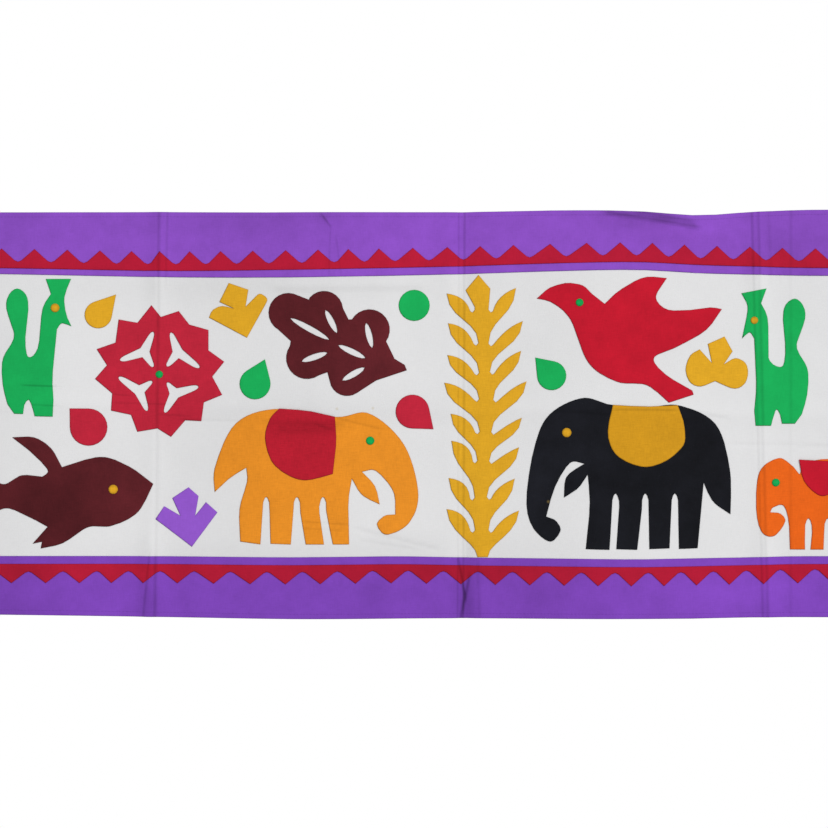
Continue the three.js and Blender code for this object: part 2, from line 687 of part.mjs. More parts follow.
function lobedLeaf() {
  const points = [];
  for (const [i, lobe] of LOBES.entries()) {
    points.push(...arc(lobe), ...LEAF_NOTCHES.slice(i, i + 1));
  }
  const leaf = cutOutline([...points, ...STALK].map(({ x, y }) => ({ x, y, corner: true })));
  leaf.holes = SLITS.map(slitOutline);
  return leaf;
}
sew('lobed_leaf', 'maroon', place(lobedLeaf(), { x: -242, down: 272 }), PATCH_LAYER);

// Rosette about its middle: twelve points cut by eye, with the valley that follows each one, and four
// cut-outs of three arms each
const ROSETTE = [
  { tip: 96.5, reach: 103, valley: 88.5, depth: 85 },
  { tip: 73, reach: 98, valley: 59, depth: 86 },
  { tip: 42, reach: 98, valley: 26, depth: 81 },
  { tip: 11, reach: 98, valley: -2.5, depth: 78.5 },
  { tip: -18, reach: 98, valley: -32, depth: 78 },
  { tip: -48, reach: 93, valley: -60.5, depth: 78 },
  { tip: -79.5, reach: 94, valley: -92, depth: 80 },
  { tip: -111, reach: 91, valley: -125, depth: 73 },
  { tip: -143, reach: 89, valley: -158, depth: 75 },
  { tip: -176, reach: 95, valley: -190, depth: 78.5 },
  { tip: -202, reach: 99.5, valley: -216, depth: 80 },
  { tip: -233.5, reach: 101, valley: -247, depth: 83 },
];
const CUTOUTS = [
  { x: -22.5, y: 33, tips: [{ x: -9, y: 63 }, { x: -58, y: 21 }, { x: -9, y: 11 }] },
  { x: 27.5, y: 32, tips: [{ x: 17, y: 62 }, { x: 11, y: 12 }, { x: 59.5, y: 10 }] },
  { x: -29.5, y: -24, tips: [{ x: -60, y: -4 }, { x: -18, y: -54 }, { x: -10.5, y: -10 }] },
  { x: 23, y: -28, tips: [{ x: 11.5, y: -12 }, { x: 8, y: -56.5 }, { x: 58, y: -18 }] },
];
const CUTOUT = { armWidth: 8.5, crotch: 8 };

// The arms go round the cut-out anticlockwise, each from the crotch before it to the one after it
function cutoutOutline({ x, y, tips }) {
  const junction = new THREE.Vector2(x, y);
  const arms = tips.map((tip) => new THREE.Vector2(tip.x, tip.y).sub(junction));
  const half = CUTOUT.armWidth / 2;
  const path = new THREE.Path();
  for (const [i, arm] of arms.entries()) {
    const way = arm.clone().normalize();
    const side = new THREE.Vector2(-way.y, way.x);
    const point = (along, across) =>
      junction.clone().addScaledVector(way, along).addScaledVector(side, across);
    const shoulder = arm.length() - CUTOUT.armWidth;
    const handle = shoulder + CUTOUT.armWidth / BOW;
    const before = point(shoulder, -half);
    const first = point(handle, -half * 0.6);
    const second = point(handle, half * 0.6);
    const after = point(shoulder, half);
    const next = arms[(i + 1) % arms.length].clone().normalize();
    const bisector = way.clone().add(next).normalize();
    const crotch = junction.clone().addScaledVector(bisector, CUTOUT.crotch);
    if (i === 0) {
      path.moveTo(before.x, before.y);
    } else {
      path.lineTo(before.x, before.y);
    }
    path.bezierCurveTo(first.x, first.y, second.x, second.y, after.x, after.y);
    path.lineTo(crotch.x, crotch.y);
  }
  return path;
}

function rosette() {
  const middle = new THREE.Vector2();
  const points = ROSETTE.flatMap(({ tip, reach, valley, depth }) => [
    polar(middle, tip, reach),
    polar(middle, valley, depth),
  ]);
  const shape = new THREE.Shape(points);
  shape.holes = CUTOUTS.map(cutoutOutline);
  return shape;
}
sew('rosette', 'crimson', place(rosette(), { x: -404, down: 240 }), PATCH_LAYER);

// Fern, from its foot: a stem, eight pairs of upswept leaves and a bud. Each row gives the height of
// the slot over a leaf, the stem's edge at that slot, and the leaf's reach and the height of its tip.
const FERN_LEFT = [
  { slot: 37, stem: 13, reach: 55, tip: 71 },
  { slot: 85, stem: 13.5, reach: 52, tip: 117 },
  { slot: 140, stem: 9.5, reach: 48, tip: 172 },
  { slot: 183, stem: 6, reach: 49, tip: 212 },
  { slot: 231, stem: 7, reach: 58.5, tip: 258 },
  { slot: 270, stem: 7, reach: 54, tip: 299 },
  { slot: 314, stem: 8, reach: 53, tip: 346 },
  { slot: 363, stem: 13.5, reach: 55, tip: 390 },
];
const FERN_RIGHT = [
  { slot: 37, stem: 7, reach: 52, tip: 69 },
  { slot: 86, stem: 4.5, reach: 45.5, tip: 116 },
  { slot: 139, stem: 8, reach: 52, tip: 162.5 },
  { slot: 182, stem: 11, reach: 56, tip: 206 },
  { slot: 230, stem: 14, reach: 63, tip: 260 },
  { slot: 271, stem: 9, reach: 55, tip: 305 },
  { slot: 313, stem: 7, reach: 57.5, tip: 349 },
  { slot: 363, stem: 7, reach: 47.5, tip: 398 },
];
const FERN = {
  slot: 6.5,
  left: { foot: 9.5, fallNear: 2, fallFar: 9 },
  right: { foot: 6, fallNear: 6, fallFar: 17 },
};
const FERN_BUD = [
  { part: 'right neck', x: 7.5, y: 369 },
  { part: 'right shoulder', x: 9.5, y: 397 },
  { part: 'tip', x: -8, y: 417.5 },
  { part: 'left shoulder', x: -27, y: 395 },
  { part: 'left neck', x: -13.5, y: 370 },
];

// One side of the fern, from its foot to the bud: 1 is the right side, -1 the left. Each leaf runs
// along the stem and then out to its tip, and back along its upper edge to the slot over it. The
// lowest leaf leaves the stem sooner.
function fernSide(side, leaves, { foot, fallNear, fallFar }) {
  const edge = new THREE.Path();
  edge.moveTo(side * foot, 0);
  let low = 0;
  let stem = foot;
  for (const leaf of leaves) {
    const rise = leaf.tip - low;
    const bend = low === 0 ? 0.3 : 0.45;
    edge.bezierCurveTo(
      side * stem, low + rise * bend,
      side * (leaf.reach - 2), low + rise * 0.47,
      side * leaf.reach, leaf.tip,
    );
    edge.bezierCurveTo(
      side * (leaf.reach - 17), leaf.tip - fallNear,
      side * (leaf.reach - 30), leaf.tip - fallFar,
      side * (leaf.stem + FERN.slot), leaf.slot + 1,
    );
    edge.lineTo(side * (leaf.stem + FERN.slot / 2), leaf.slot - 1);
    low = leaf.slot + 3;
    stem = leaf.stem;
    edge.lineTo(side * stem, low);
  }
  return edge.getPoints(CURVE_STEPS);
}

function fern() {
  const right = fernSide(1, FERN_RIGHT, FERN.right);
  const left = fernSide(-1, FERN_LEFT, FERN.left);
  return new THREE.Shape([...right, ...FERN_BUD, ...left.reverse()]);
}
const FERN_X = 76;
sew('fern', 'mustard', place(fern(), { x: FERN_X, down: -bottomSeamLine(FERN_X) - 1 }), PATCH_LAYER);

// Sprigs: a middle petal between two side petals, each drawn from its lower left
const MUSTARD_SPRIG_LEFT = [
  { part: 'petal, upper left', x: 31, y: 81, corner: true },
  { part: 'petal, upper right', x: 60, y: 71, corner: true },
  { part: 'right notch', x: 56, y: 46, corner: true },
  { part: 'inside of the right leaf', x: 66, y: 56 },
  { part: 'top of the right leaf', x: 77, y: 65 },
  { part: 'end of the right leaf', x: 88, y: 57 },
  { part: 'side of the right leaf', x: 82, y: 43 },
  { part: 'point', x: 58, y: 0, corner: true },
  { part: 'end of the left leaf', x: 1.5, y: 30, corner: true },
  { part: 'shoulder of the left leaf', x: 7, y: 41 },
  { part: 'top of the left leaf', x: 21, y: 47 },
  { part: 'left notch', x: 39, y: 43, corner: true },
  { part: 'petal, lower left', x: 17, y: 53, corner: true },
];
const MUSTARD_SPRIG_RIGHT = [
  { part: 'petal, left', x: 35, y: 68, corner: true },
  { part: 'petal, top', x: 60, y: 79, corner: true },
  { part: 'petal, right', x: 72, y: 57, corner: true },
  { part: 'right notch', x: 59, y: 38, corner: true },
  { part: 'top of the right lobe', x: 76, y: 47 },
  { part: 'upper side of the right lobe', x: 91, y: 40 },
  { part: 'side of the right lobe', x: 95, y: 24 },
  { part: 'lower side of the right lobe', x: 89, y: 8 },
  { part: 'bottom of the right lobe', x: 73, y: 2 },
  { part: 'bottom notch', x: 46, y: 13, corner: true },
  { part: 'bottom of the left lobe', x: 24, y: 5 },
  { part: 'lower side of the left lobe', x: 8, y: 12 },
  { part: 'side of the left lobe', x: 2, y: 31 },
  { part: 'shoulder of the left lobe', x: 9, y: 51 },
  { part: 'top of the left lobe', x: 23, y: 60, corner: true },
  { part: 'left notch', x: 41, y: 40, corner: true },
];
const PURPLE_SPRIG = [
  { part: 'top of the petal', x: 49, y: 88, corner: true },
  { part: 'right shoulder of the petal', x: 64, y: 75, corner: true },
  { part: 'right notch', x: 59, y: 46, corner: true },
  { part: 'top of the right leaf', x: 75, y: 66, corner: true },
  { part: 'end of the right leaf', x: 92, y: 51, corner: true },
  { part: 'point', x: 54, y: 0, corner: true },
  { part: 'end of the left leaf', x: 0, y: 41, corner: true },
  { part: 'top of the left leaf', x: 13, y: 60, corner: true },
  { part: 'left notch', x: 37, y: 46, corner: true },
  { part: 'left shoulder of the petal', x: 25, y: 72, corner: true },
];
const SPRIGS = [
  { name: 'sprig_mustard_left', colour: 'mustard', rows: MUSTARD_SPRIG_LEFT, x: -332, down: 186 },
  { name: 'sprig_mustard_right', colour: 'mustard', rows: MUSTARD_SPRIG_RIGHT, x: 372, down: 263 },
  { name: 'sprig_purple', colour: 'purple', rows: PURPLE_SPRIG, x: -410, down: 495 },
];
for (const sprig of SPRIGS) {
  sew(sprig.name, sprig.colour, place(cutOutline(sprig.rows), sprig), PATCH_LAYER);
}

// Drops: a round with a point at a distance from its middle
const DROPS = [
  { name: 'drop_mustard', colour: 'mustard', x: -494, down: 152, r: 20, reach: 40, turn: 49 },
  { name: 'drop_green_left', colour: 'green', x: -262, down: 254, r: 23, reach: 39, turn: 68 },
  { name: 'drop_green_right', colour: 'green', x: 176, down: 242, r: 21.5, reach: 36, turn: 132 },
  { name: 'drop_crimson_left', colour: 'crimson', x: -508, down: 318, r: 27.5, reach: 39, turn: 135 },
  { name: 'drop_crimson_right', colour: 'crimson', x: -29.5, down: 295, r: 25, reach: 40.5, turn: -40 },
];

function dropOutline({ r, reach }) {
  const tangent = THREE.MathUtils.radToDeg(Math.acos(r / reach));
  const round = arc({ x: 0, y: 0, r, from: tangent, to: 360 - tangent });
  return new THREE.Shape([new THREE.Vector2(reach, 0), ...round]);
}

for (const drop of DROPS) {
  sew(drop.name, drop.colour, place(dropOutline(drop), drop), PATCH_LAYER);
}

// Discs: one large one on the panel, the animals' eyes, and the middle of the rosette
const DISCS = [
  { name: 'disc_green', colour: 'green', x: -27, down: 138, r: 23, layer: PATCH_LAYER },
  { name: 'eye_peacock_left', colour: 'mustard', x: -557, down: 142, r: 6.5, layer: TOP_LAYER },
  { name: 'eye_peacock_right', colour: 'mustard', x: 476, down: 160, r: 5.5, layer: TOP_LAYER },
  { name: 'eye_fish', colour: 'mustard', x: -472, down: 410, r: 7, layer: TOP_LAYER },
  { name: 'eye_bird', colour: 'green', x: 217, down: 134, r: 5.8, layer: TOP_LAYER },
  { name: 'eye_elephant_amber', colour: 'green', x: -92, down: 338, r: 6.3, layer: TOP_LAYER },
  { name: 'eye_elephant_black', colour: 'mustard', x: 198, down: 326, r: 7, layer: TOP_LAYER },
  { name: 'eye_elephant_orange', colour: 'green', x: 508, down: 400, r: 6, layer: TOP_LAYER },
  { name: 'rosette_middle', colour: 'green', x: -404, down: 240, r: 5.6, layer: TOP_LAYER },
];

for (const disc of DISCS) {
  const round = new THREE.Shape(arc({ x: 0, y: 0, r: disc.r, from: 0, to: 360 }).slice(1));
  sew(disc.name, disc.colour, place(round, disc), disc.layer);
}

export default hanging;
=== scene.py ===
"""Applique wall hanging: plain cotton shapes, cut out and sewn to a white panel between purple bands."""

import math

import bmesh
import bpy
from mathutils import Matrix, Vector, kdtree, noise


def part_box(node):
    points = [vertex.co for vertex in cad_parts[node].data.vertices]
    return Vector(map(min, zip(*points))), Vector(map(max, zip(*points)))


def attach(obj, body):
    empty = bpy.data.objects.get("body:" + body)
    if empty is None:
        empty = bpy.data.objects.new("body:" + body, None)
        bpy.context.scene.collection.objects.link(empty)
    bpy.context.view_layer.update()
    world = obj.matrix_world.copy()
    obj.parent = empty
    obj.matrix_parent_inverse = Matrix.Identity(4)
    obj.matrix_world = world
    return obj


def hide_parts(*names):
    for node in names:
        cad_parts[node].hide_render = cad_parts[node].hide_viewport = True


bl_info = {
    "name": "Applique Wall Hanging",
    "version": (1, 0, 0),
    "blender": (4, 5, 0),
    "location": "3D View > Sidebar > Hanging",
    "description": "Cuts, hangs and dyes the cloth pieces of an applique wall hanging",
    "category": "Add Mesh",
}

for spare in ("Cube", "Light", "Camera"):
    if spare in bpy.data.objects:
        bpy.data.objects.remove(bpy.data.objects[spare])
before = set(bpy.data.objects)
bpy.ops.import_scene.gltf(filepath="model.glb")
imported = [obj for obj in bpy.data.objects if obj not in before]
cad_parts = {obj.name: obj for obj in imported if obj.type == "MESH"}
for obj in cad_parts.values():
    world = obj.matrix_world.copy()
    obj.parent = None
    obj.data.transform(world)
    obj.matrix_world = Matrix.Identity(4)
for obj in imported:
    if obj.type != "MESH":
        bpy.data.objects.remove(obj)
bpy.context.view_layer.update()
PANEL_LOW, PANEL_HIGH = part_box("white_panel")

MM = 0.001

# How the cloth hangs: across is +X, down is from the top edge, forward is towards the viewer.
HEIGHT = 600 * MM
# Vertical folds that stand forward of the cloth's plane, or back from it where the rise is below 0
FOLDS = {
    "left": {"x": -404 * MM, "lean": -16 * MM, "rise": 3.5 * MM, "reach": 24 * MM},
    "middle": {"x": 45 * MM, "lean": 3 * MM, "rise": -4 * MM, "reach": 24 * MM},
    "right": {"x": 478 * MM, "lean": 18 * MM, "rise": 3.5 * MM, "reach": 24 * MM},
}
CROSS_FOLD = {"down": 293 * MM, "slope": 0.0155, "rise": 1.5 * MM, "reach": 24 * MM}
# The panel is one layer and the bands are two, so a vertical fold flattens out between them
SOFTENS = {"top": 94 * MM, "bottom": 510 * MM, "over": 60 * MM, "to": 0.35}
SWELL = {"period": 442 * MM, "peak": -180 * MM, "at_top": 4 * MM, "at_bottom": 7 * MM}
SAG = {"x": 318 * MM, "down": 14 * MM, "slope": 0.17, "rise": 9 * MM, "across": 95 * MM, "reach": 30 * MM}
CREST = 5 * MM  # how wide the crest of a fold is rounded
RIPPLE = {"size": 120 * MM, "rise": 0.5 * MM}
CRUMPLE = {"size": 22 * MM, "rise": 0.12 * MM}
CRUMPLED_SPOTS = (
    {"x": -190 * MM, "down": 105 * MM, "across": 70 * MM, "rise": 0.35 * MM},
    {"x": 320 * MM, "down": 40 * MM, "across": 70 * MM, "rise": 0.3 * MM},
)

# Lines that ironing and folding pressed into the cloth: each with its ends as (across, down), half its
# width and its rise, all in millimetres, and the painted shade along it, where the crease lies in shade
PRESSED = {
    "left fold": {"start": (-404, -20), "end": (-411, 620), "half": 4.2, "rise": -0.5, "shade": 1.3},
    "left fold, second": {"start": (-391, -20), "end": (-394, 112), "half": 3.0, "rise": 0.4, "shade": 0.8},
    "left fold, foot": {"start": (-418, 498), "end": (-430, 612), "half": 3.2, "rise": -0.6, "shade": 1.1},
    "middle fold, left": {"start": (39, -20), "end": (37, 620), "half": 2.2, "rise": -0.3, "shade": 0.9},
    "middle fold, right": {"start": (48, -20), "end": (46, 620), "half": 3.0, "rise": 0.5, "shade": 1.2},
    "middle foot, left": {"start": (37, 506), "end": (50, 580), "half": 3.2, "rise": -0.6, "shade": 1.8},
    "middle foot, right": {"start": (56, 532), "end": (39, 614), "half": 4.0, "rise": -0.6, "shade": 1.9},
    "middle foot, far right": {"start": (66, 510), "end": (70, 612), "half": 4.0, "rise": -0.3, "shade": 0.6},
    "right fold, left": {"start": (471, -20), "end": (489, 620), "half": 3.0, "rise": -0.4, "shade": 1.1},
    "right fold": {"start": (481, -20), "end": (497, 620), "half": 3.8, "rise": 0.5, "shade": 1.1},
    "right fold, second": {"start": (496, -20), "end": (502, 112), "half": 4.5, "rise": 0.3, "shade": 0.5},
    "far right line": {"start": (530, -20), "end": (530, 620), "half": 4.0, "rise": 0.2, "shade": 0.6},
    "top wrinkle, upper": {"start": (-168, -2), "end": (-147, 26), "half": 2.8, "rise": 0.9, "shade": 1.6},
    "top wrinkle, lower": {"start": (-150, 18), "end": (-153, 98), "half": 2.6, "rise": 0.4, "shade": 0.7},
    "top wrinkle, right": {"start": (-143, 30), "end": (-134, 98), "half": 2.4, "rise": 0.3, "shade": 0.7},
    "sag wrinkle, long": {"start": (248, 0), "end": (398, 23), "half": 6.0, "rise": 2.2, "shade": 2.0},
    "sag wrinkle, short": {"start": (292, -1), "end": (392, 15), "half": 5.5, "rise": 1.6, "shade": 1.4},
    "tuck under the seam": {"start": (-240, 113), "end": (-8, 110), "half": 8.0, "rise": 0.9, "shade": 0.9},
    "peacock, upper": {"start": (-610, 256), "end": (-548, 258), "half": 2.2, "rise": -0.5, "shade": 1.8},
    "peacock, lower": {"start": (-610, 284), "end": (-548, 287), "half": 2.2, "rise": -0.3, "shade": 1.0},
    "rosette, upper": {"start": (-480, 269), "end": (-440, 272), "half": 2.4, "rise": -0.3, "shade": 0.9},
    "rosette, middle": {"start": (-474, 282), "end": (-370, 285), "half": 2.4, "rise": -0.3, "shade": 0.8},
    "rosette, lower": {"start": (-410, 299), "end": (-352, 302), "half": 2.6, "rise": -0.3, "shade": 0.9},
    "cross fold, left": {"start": (-380, 307), "end": (-280, 309), "half": 3.5, "rise": -0.4, "shade": 0.9},
    "saddle, upper": {"start": (-256, 311), "end": (-128, 315), "half": 8.0, "rise": -0.8, "shade": 0.6},
    "saddle, lower": {"start": (-240, 322), "end": (-146, 325), "half": 7.0, "rise": -0.4, "shade": 0.5},
    "saddle, corner": {"start": (-178, 312), "end": (-140, 325), "half": 4.5, "rise": -0.5, "shade": 0.9},
    "head": {"start": (-146, 304), "end": (-70, 322), "half": 3.2, "rise": -0.4, "shade": 0.8},
    "leg, upper": {"start": (-196, 457), "end": (-120, 462), "half": 2.6, "rise": -0.3, "shade": 0.8},
    "leg, lower": {"start": (-196, 467), "end": (-128, 471), "half": 2.4, "rise": -0.3, "shade": 0.5},
    "dark nape": {"start": (176, 293), "end": (268, 300), "half": 4.5, "rise": -0.4, "shade": 1.2},
    "dark saddle": {"start": (262, 292), "end": (366, 293), "half": 2.8, "rise": -0.5, "shade": 1.1},
    "dark rump": {"start": (366, 293), "end": (446, 306), "half": 4.5, "rise": -0.4, "shade": 1.0},
    "cross fold, right": {"start": (436, 343), "end": (600, 346), "half": 5.0, "rise": -0.5, "shade": 0.5},
    "trunk ground, upper": {"start": (-120, 466), "end": (14, 500), "half": 5.0, "rise": -0.6, "shade": 0.8},
    "trunk ground, lower": {"start": (-112, 484), "end": (-20, 500), "half": 4.0, "rise": -0.4, "shade": 0.5},
}
# Soft patches of single pieces painted darker, and lighter where the shade is below 0: painted shade and
# painted light on the sagging and folded cloth, and on the fish and the dark elephant a darker and lighter
# tone; the middle of each and its reach both ways, in millimetres
PATCHES = (
    {"on": "top_band", "x": 296, "down": 2, "across": 42, "deep": 6, "shade": 1.2},
    {"on": "top_band", "x": 344, "down": 10, "across": 30, "deep": 8, "shade": 1.2},
    {"on": "top_band", "x": 335, "down": 30, "across": 55, "deep": 8, "shade": -0.5},
    {"on": "top_band", "x": -158, "down": 8, "across": 12, "deep": 12, "shade": 0.7},
    {"on": "top_band", "x": -260, "down": 15, "across": 140, "deep": 26, "shade": 0.6},
    {"on": "top_band", "x": 530, "down": 50, "across": 70, "deep": 70, "shade": 0.8},
    {"on": "top_band", "x": -600, "down": 12, "across": 40, "deep": 60, "shade": 0.5},
    {"on": "top_sawtooth", "x": -80, "down": 80, "across": 480, "deep": 40, "shade": -0.3},
    {"on": "bottom_band", "x": -420, "down": 578, "across": 15, "deep": 34, "shade": 1.1},
    {"on": "bottom_band", "x": 49, "down": 572, "across": 15, "deep": 38, "shade": 1.2},
    {"on": "bottom_band", "x": -84, "down": 572, "across": 22, "deep": 30, "shade": 0.5},
    {"on": "bottom_band", "x": 160, "down": 570, "across": 24, "deep": 30, "shade": 0.6},
    {"on": "bottom_band", "x": 470, "down": 560, "across": 150, "deep": 60, "shade": -0.7},
    {"on": "bottom_band", "x": -400, "down": 560, "across": 110, "deep": 60, "shade": -0.5},
    {"on": "bottom_band", "x": -620, "down": 580, "across": 50, "deep": 50, "shade": 0.5},
    {"on": "bottom_sawtooth", "x": -20, "down": 530, "across": 200, "deep": 40, "shade": 0.9},
    {"on": "bottom_sawtooth", "x": -600, "down": 525, "across": 40, "deep": 40, "shade": 1.1},
    {"on": "saddle_amber_elephant", "x": -190, "down": 320, "across": 70, "deep": 11, "shade": 0.6},
    {"on": "saddle_amber_elephant", "x": -228, "down": 350, "across": 30, "deep": 26, "shade": -0.4},
    {"on": "elephant_black", "x": 145, "down": 400, "across": 42, "deep": 80, "shade": -1.8},
    {"on": "elephant_black", "x": 195, "down": 322, "across": 45, "deep": 30, "shade": -1.0},
    {"on": "elephant_black", "x": 240, "down": 370, "across": 60, "deep": 60, "shade": -1.0},
    {"on": "fish", "x": -560, "down": 430, "across": 70, "deep": 60, "shade": 1.9},
    {"on": "fish", "x": -440, "down": 440, "across": 36, "deep": 40, "shade": -0.8},
    {"on": "lobed_leaf", "x": -60, "down": 190, "across": 50, "deep": 50, "shade": -0.8},
    {"on": "white_panel", "x": -50, "down": 486, "across": 60, "deep": 15, "shade": 0.6},
    {"on": "white_panel", "x": -120, "down": 508, "across": 300, "deep": 22, "shade": 1.1},
    {"on": "white_panel", "x": -150, "down": 290, "across": 200, "deep": 24, "shade": 1.0},
    {"on": "white_panel", "x": -230, "down": 112, "across": 260, "deep": 22, "shade": 1.0},
    {"on": "white_panel", "x": -480, "down": 230, "across": 130, "deep": 110, "shade": -0.7},
    {"on": "white_panel", "x": -470, "down": 470, "across": 120, "deep": 40, "shade": -0.5},
)
LONG_LINE = 300  # millimetres; a longer line is cut through the whole piece
FADE = 12 * MM  # how far from its ends a line starts to fade


def pressed_lines():
    """The pressed lines with their measures in metres, each with its direction."""
    lines = []
    for row in PRESSED.values():
        start = Vector((row["start"][0], 0, -row["start"][1])) * MM
        end = Vector((row["end"][0], 0, -row["end"][1])) * MM
        along = (end - start).normalized()
        lines.append({
            "start": start,
            "along": along,
            "side": Vector((along.z, 0, -along.x)),
            "length": (end - start).length,
            "half": row["half"] * MM,
            "rise": row["rise"] * MM,
            "shade": row["shade"],
        })
    return lines


LINES = pressed_lines()


def ridge(distance, reach):
    """The height of a fold beside its crest: 1 on it, 0 at its reach."""
    away = math.hypot(distance, CREST) - CREST
    return max(0.0, 1 - away / reach) ** 2


def fold_line(fold, down):
    """Where a vertical fold stands at a depth."""
    return fold["x"] + fold["lean"] * down / HEIGHT


def ease(value):
    """A smooth step from 0 to 1."""
    part = min(1.0, max(0.0, value))
    return part * part * (3 - 2 * part)


def stiffness(down):
    """The part of a fold's rise that is left at a depth."""
    from_top = ease((down - SOFTENS["top"]) / SOFTENS["over"])
    from_bottom = ease((SOFTENS["bottom"] - down) / SOFTENS["over"])
    return 1 - (1 - SOFTENS["to"]) * min(from_top, from_bottom)


def hang(x, down):
    """How far the back of the white panel stands forward of the plane that it hangs in."""
    total = 0.0
    stiff = stiffness(down)
    for fold in FOLDS.values():
        total += stiff * fold["rise"] * ridge(x - fold_line(fold, down), fold["reach"])
    cross_line = CROSS_FOLD["down"] + CROSS_FOLD["slope"] * x
    total += CROSS_FOLD["rise"] * ridge(down - cross_line, CROSS_FOLD["reach"])
    part = down / HEIGHT
    swell = SWELL["at_top"] * (1 - part) + SWELL["at_bottom"] * part
    total += swell * math.cos(math.tau * (x - SWELL["peak"]) / SWELL["period"])
    sag_line = SAG["down"] + SAG["slope"] * (x - SAG["x"])
    sag_across = math.exp(-(((x - SAG["x"]) / SAG["across"]) ** 2))
    total += SAG["rise"] * sag_across * ridge(down - sag_line, SAG["reach"])
    return total


def line_strength(line, point):
    """1 on a pressed line, 0 beside it, and fading towards its ends."""
    offset = point - line["start"]
    beside = abs(offset.dot(line["side"])) / line["half"]
    if beside >= 1:
        return 0.0
    place = offset.dot(line["along"])
    fade = min(place, line["length"] - place) / FADE
    return (1 - beside) * min(1.0, max(0.0, fade))


def surface(point):
    """How far forward the cloth stands at a point of its plane, and the painted shade of the pressed lines
    there.
    """
    x, down = point.x, -point.z
    rise = hang(x, down)
    rise += RIPPLE["rise"] * noise.noise(Vector((x, down, 0)) / RIPPLE["size"])
    crumple = CRUMPLE["rise"]
    for spot in CRUMPLED_SPOTS:
        distance = math.hypot(x - spot["x"], down - spot["down"])
        crumple += spot["rise"] * math.exp(-((distance / spot["across"]) ** 2))
    rise += crumple * noise.noise(Vector((x, down, CRUMPLE["size"])) / CRUMPLE["size"])
    shade = 0.0
    for line in LINES:
        strength = line_strength(line, point)
        rise += line["rise"] * strength
        shade += line["shade"] * strength
    return rise, shade


def patch_shade(node, point):
    """The painted shade of the soft patches of one piece at a point, painted light where it is below 0."""
    total = 0.0
    for patch in PATCHES:
        if patch["on"] == node:
            across = (point.x / MM - patch["x"]) / patch["across"]
            deep = (-point.z / MM - patch["down"]) / patch["deep"]
            total += patch["shade"] * math.exp(-across * across - deep * deep)
    return total


# Cloth
LAYERS = {"panel": 0, "patch": 1, "top": 2}
FACES_FRONT = -0.5  # a face of the solid belongs to its front where its normal's Y is below this
WELD = 0.001 * MM
CUT_WELD = 0.02 * MM  # points that two cuts leave this close are one
SLIVER = 0.12 * MM  # inside a sheet cuts this close are made one, so that no face is a dark splinter
INSIDE = 2  # the inside of a sheet starts this many strip widths from its outline
SHORT_EDGE = 0.85 * MM  # shorter edges of an outline are closed up, so that its sewn strip lies flat
FLAT_ANGLE = math.radians(0.5)
OUTLINE_STEP = 1 * MM
FAR_FROM_HEM = 1.0  # metres, for a piece without a stitched hem
EYE_TIGHT = 2.2  # the painted shade along the sewn edge of a small round piece reaches this many times further


def outline_points(sheet):
    """Points along the open edges of a flat sheet."""
    points = []
    for edge in sheet.edges:
        if edge.is_boundary:
            start, end = (vert.co for vert in edge.verts)
            steps = max(1, math.ceil((end - start).length / OUTLINE_STEP))
            points.extend(start.lerp(end, i / steps) for i in range(steps))
    return points


def nearest_to(points):
    """A search tree over points."""
    tree = kdtree.KDTree(len(points))
    for i, point in enumerate(points):
        tree.insert(point, i)
    tree.balance()
    return tree


def bend(vert):
    """How far an outline turns at one of its corners."""
    before, after = (edge.other_vert(vert).co - vert.co for edge in vert.link_edges if edge.is_boundary)
    return math.pi - before.angle(after)


def close_short_edges(sheet):
    """Draws the blunter end of each short edge of an outline on to its sharper end."""
    targets = {}
    for edge in sheet.edges:
        if edge.is_boundary and edge.calc_length() < SHORT_EDGE:
            blunt, sharp = sorted(edge.verts, key=bend)
            if blunt not in targets and sharp not in targets and blunt not in targets.values():
                targets[blunt] = sharp
    bmesh.ops.weld_verts(sheet, targetmap=targets)


def front_sheet(node):
    """A CAD solid's front as one flat sheet, in as few faces as its outline allows."""
    sheet = bmesh.new()
    sheet.from_mesh(bpy.data.objects[node].data)
    bmesh.ops.remove_doubles(sheet, verts=sheet.verts, dist=WELD)
    sheet.normal_update()
    others = [face for face in sheet.faces if face.normal.y > FACES_FRONT]
    bmesh.ops.delete(sheet, geom=others, context="FACES")
    for vert in sheet.verts:
        vert.co.y = 0
    bmesh.ops.dissolve_limit(
        sheet, angle_limit=FLAT_ANGLE, use_dissolve_boundaries=False,
        verts=sheet.verts, edges=sheet.edges, delimit=set(),
    )
    close_short_edges(sheet)
    sheet.normal_update()
    return sheet


def cut_line(sheet, place, normal, faces=None):
    """Cuts faces of a flat sheet, or all of it, along one straight line."""
    if faces is None:
        geometry = sheet.verts[:] + sheet.edges[:] + sheet.faces[:]
    else:
        edges = dict.fromkeys(edge for face in faces for edge in face.edges)
        verts = dict.fromkeys(vert for face in faces for vert in face.verts)
        geometry = list(verts) + list(edges) + list(faces)
    bmesh.ops.bisect_plane(sheet, geom=geometry, dist=WELD, plane_co=place, plane_no=normal)


def box_of(sheet):
    """The least and greatest X and Z of a sheet."""
    across = [vert.co.x for vert in sheet.verts]
    up = [vert.co.z for vert in sheet.verts]
    return min(across), max(across), min(up), max(up)


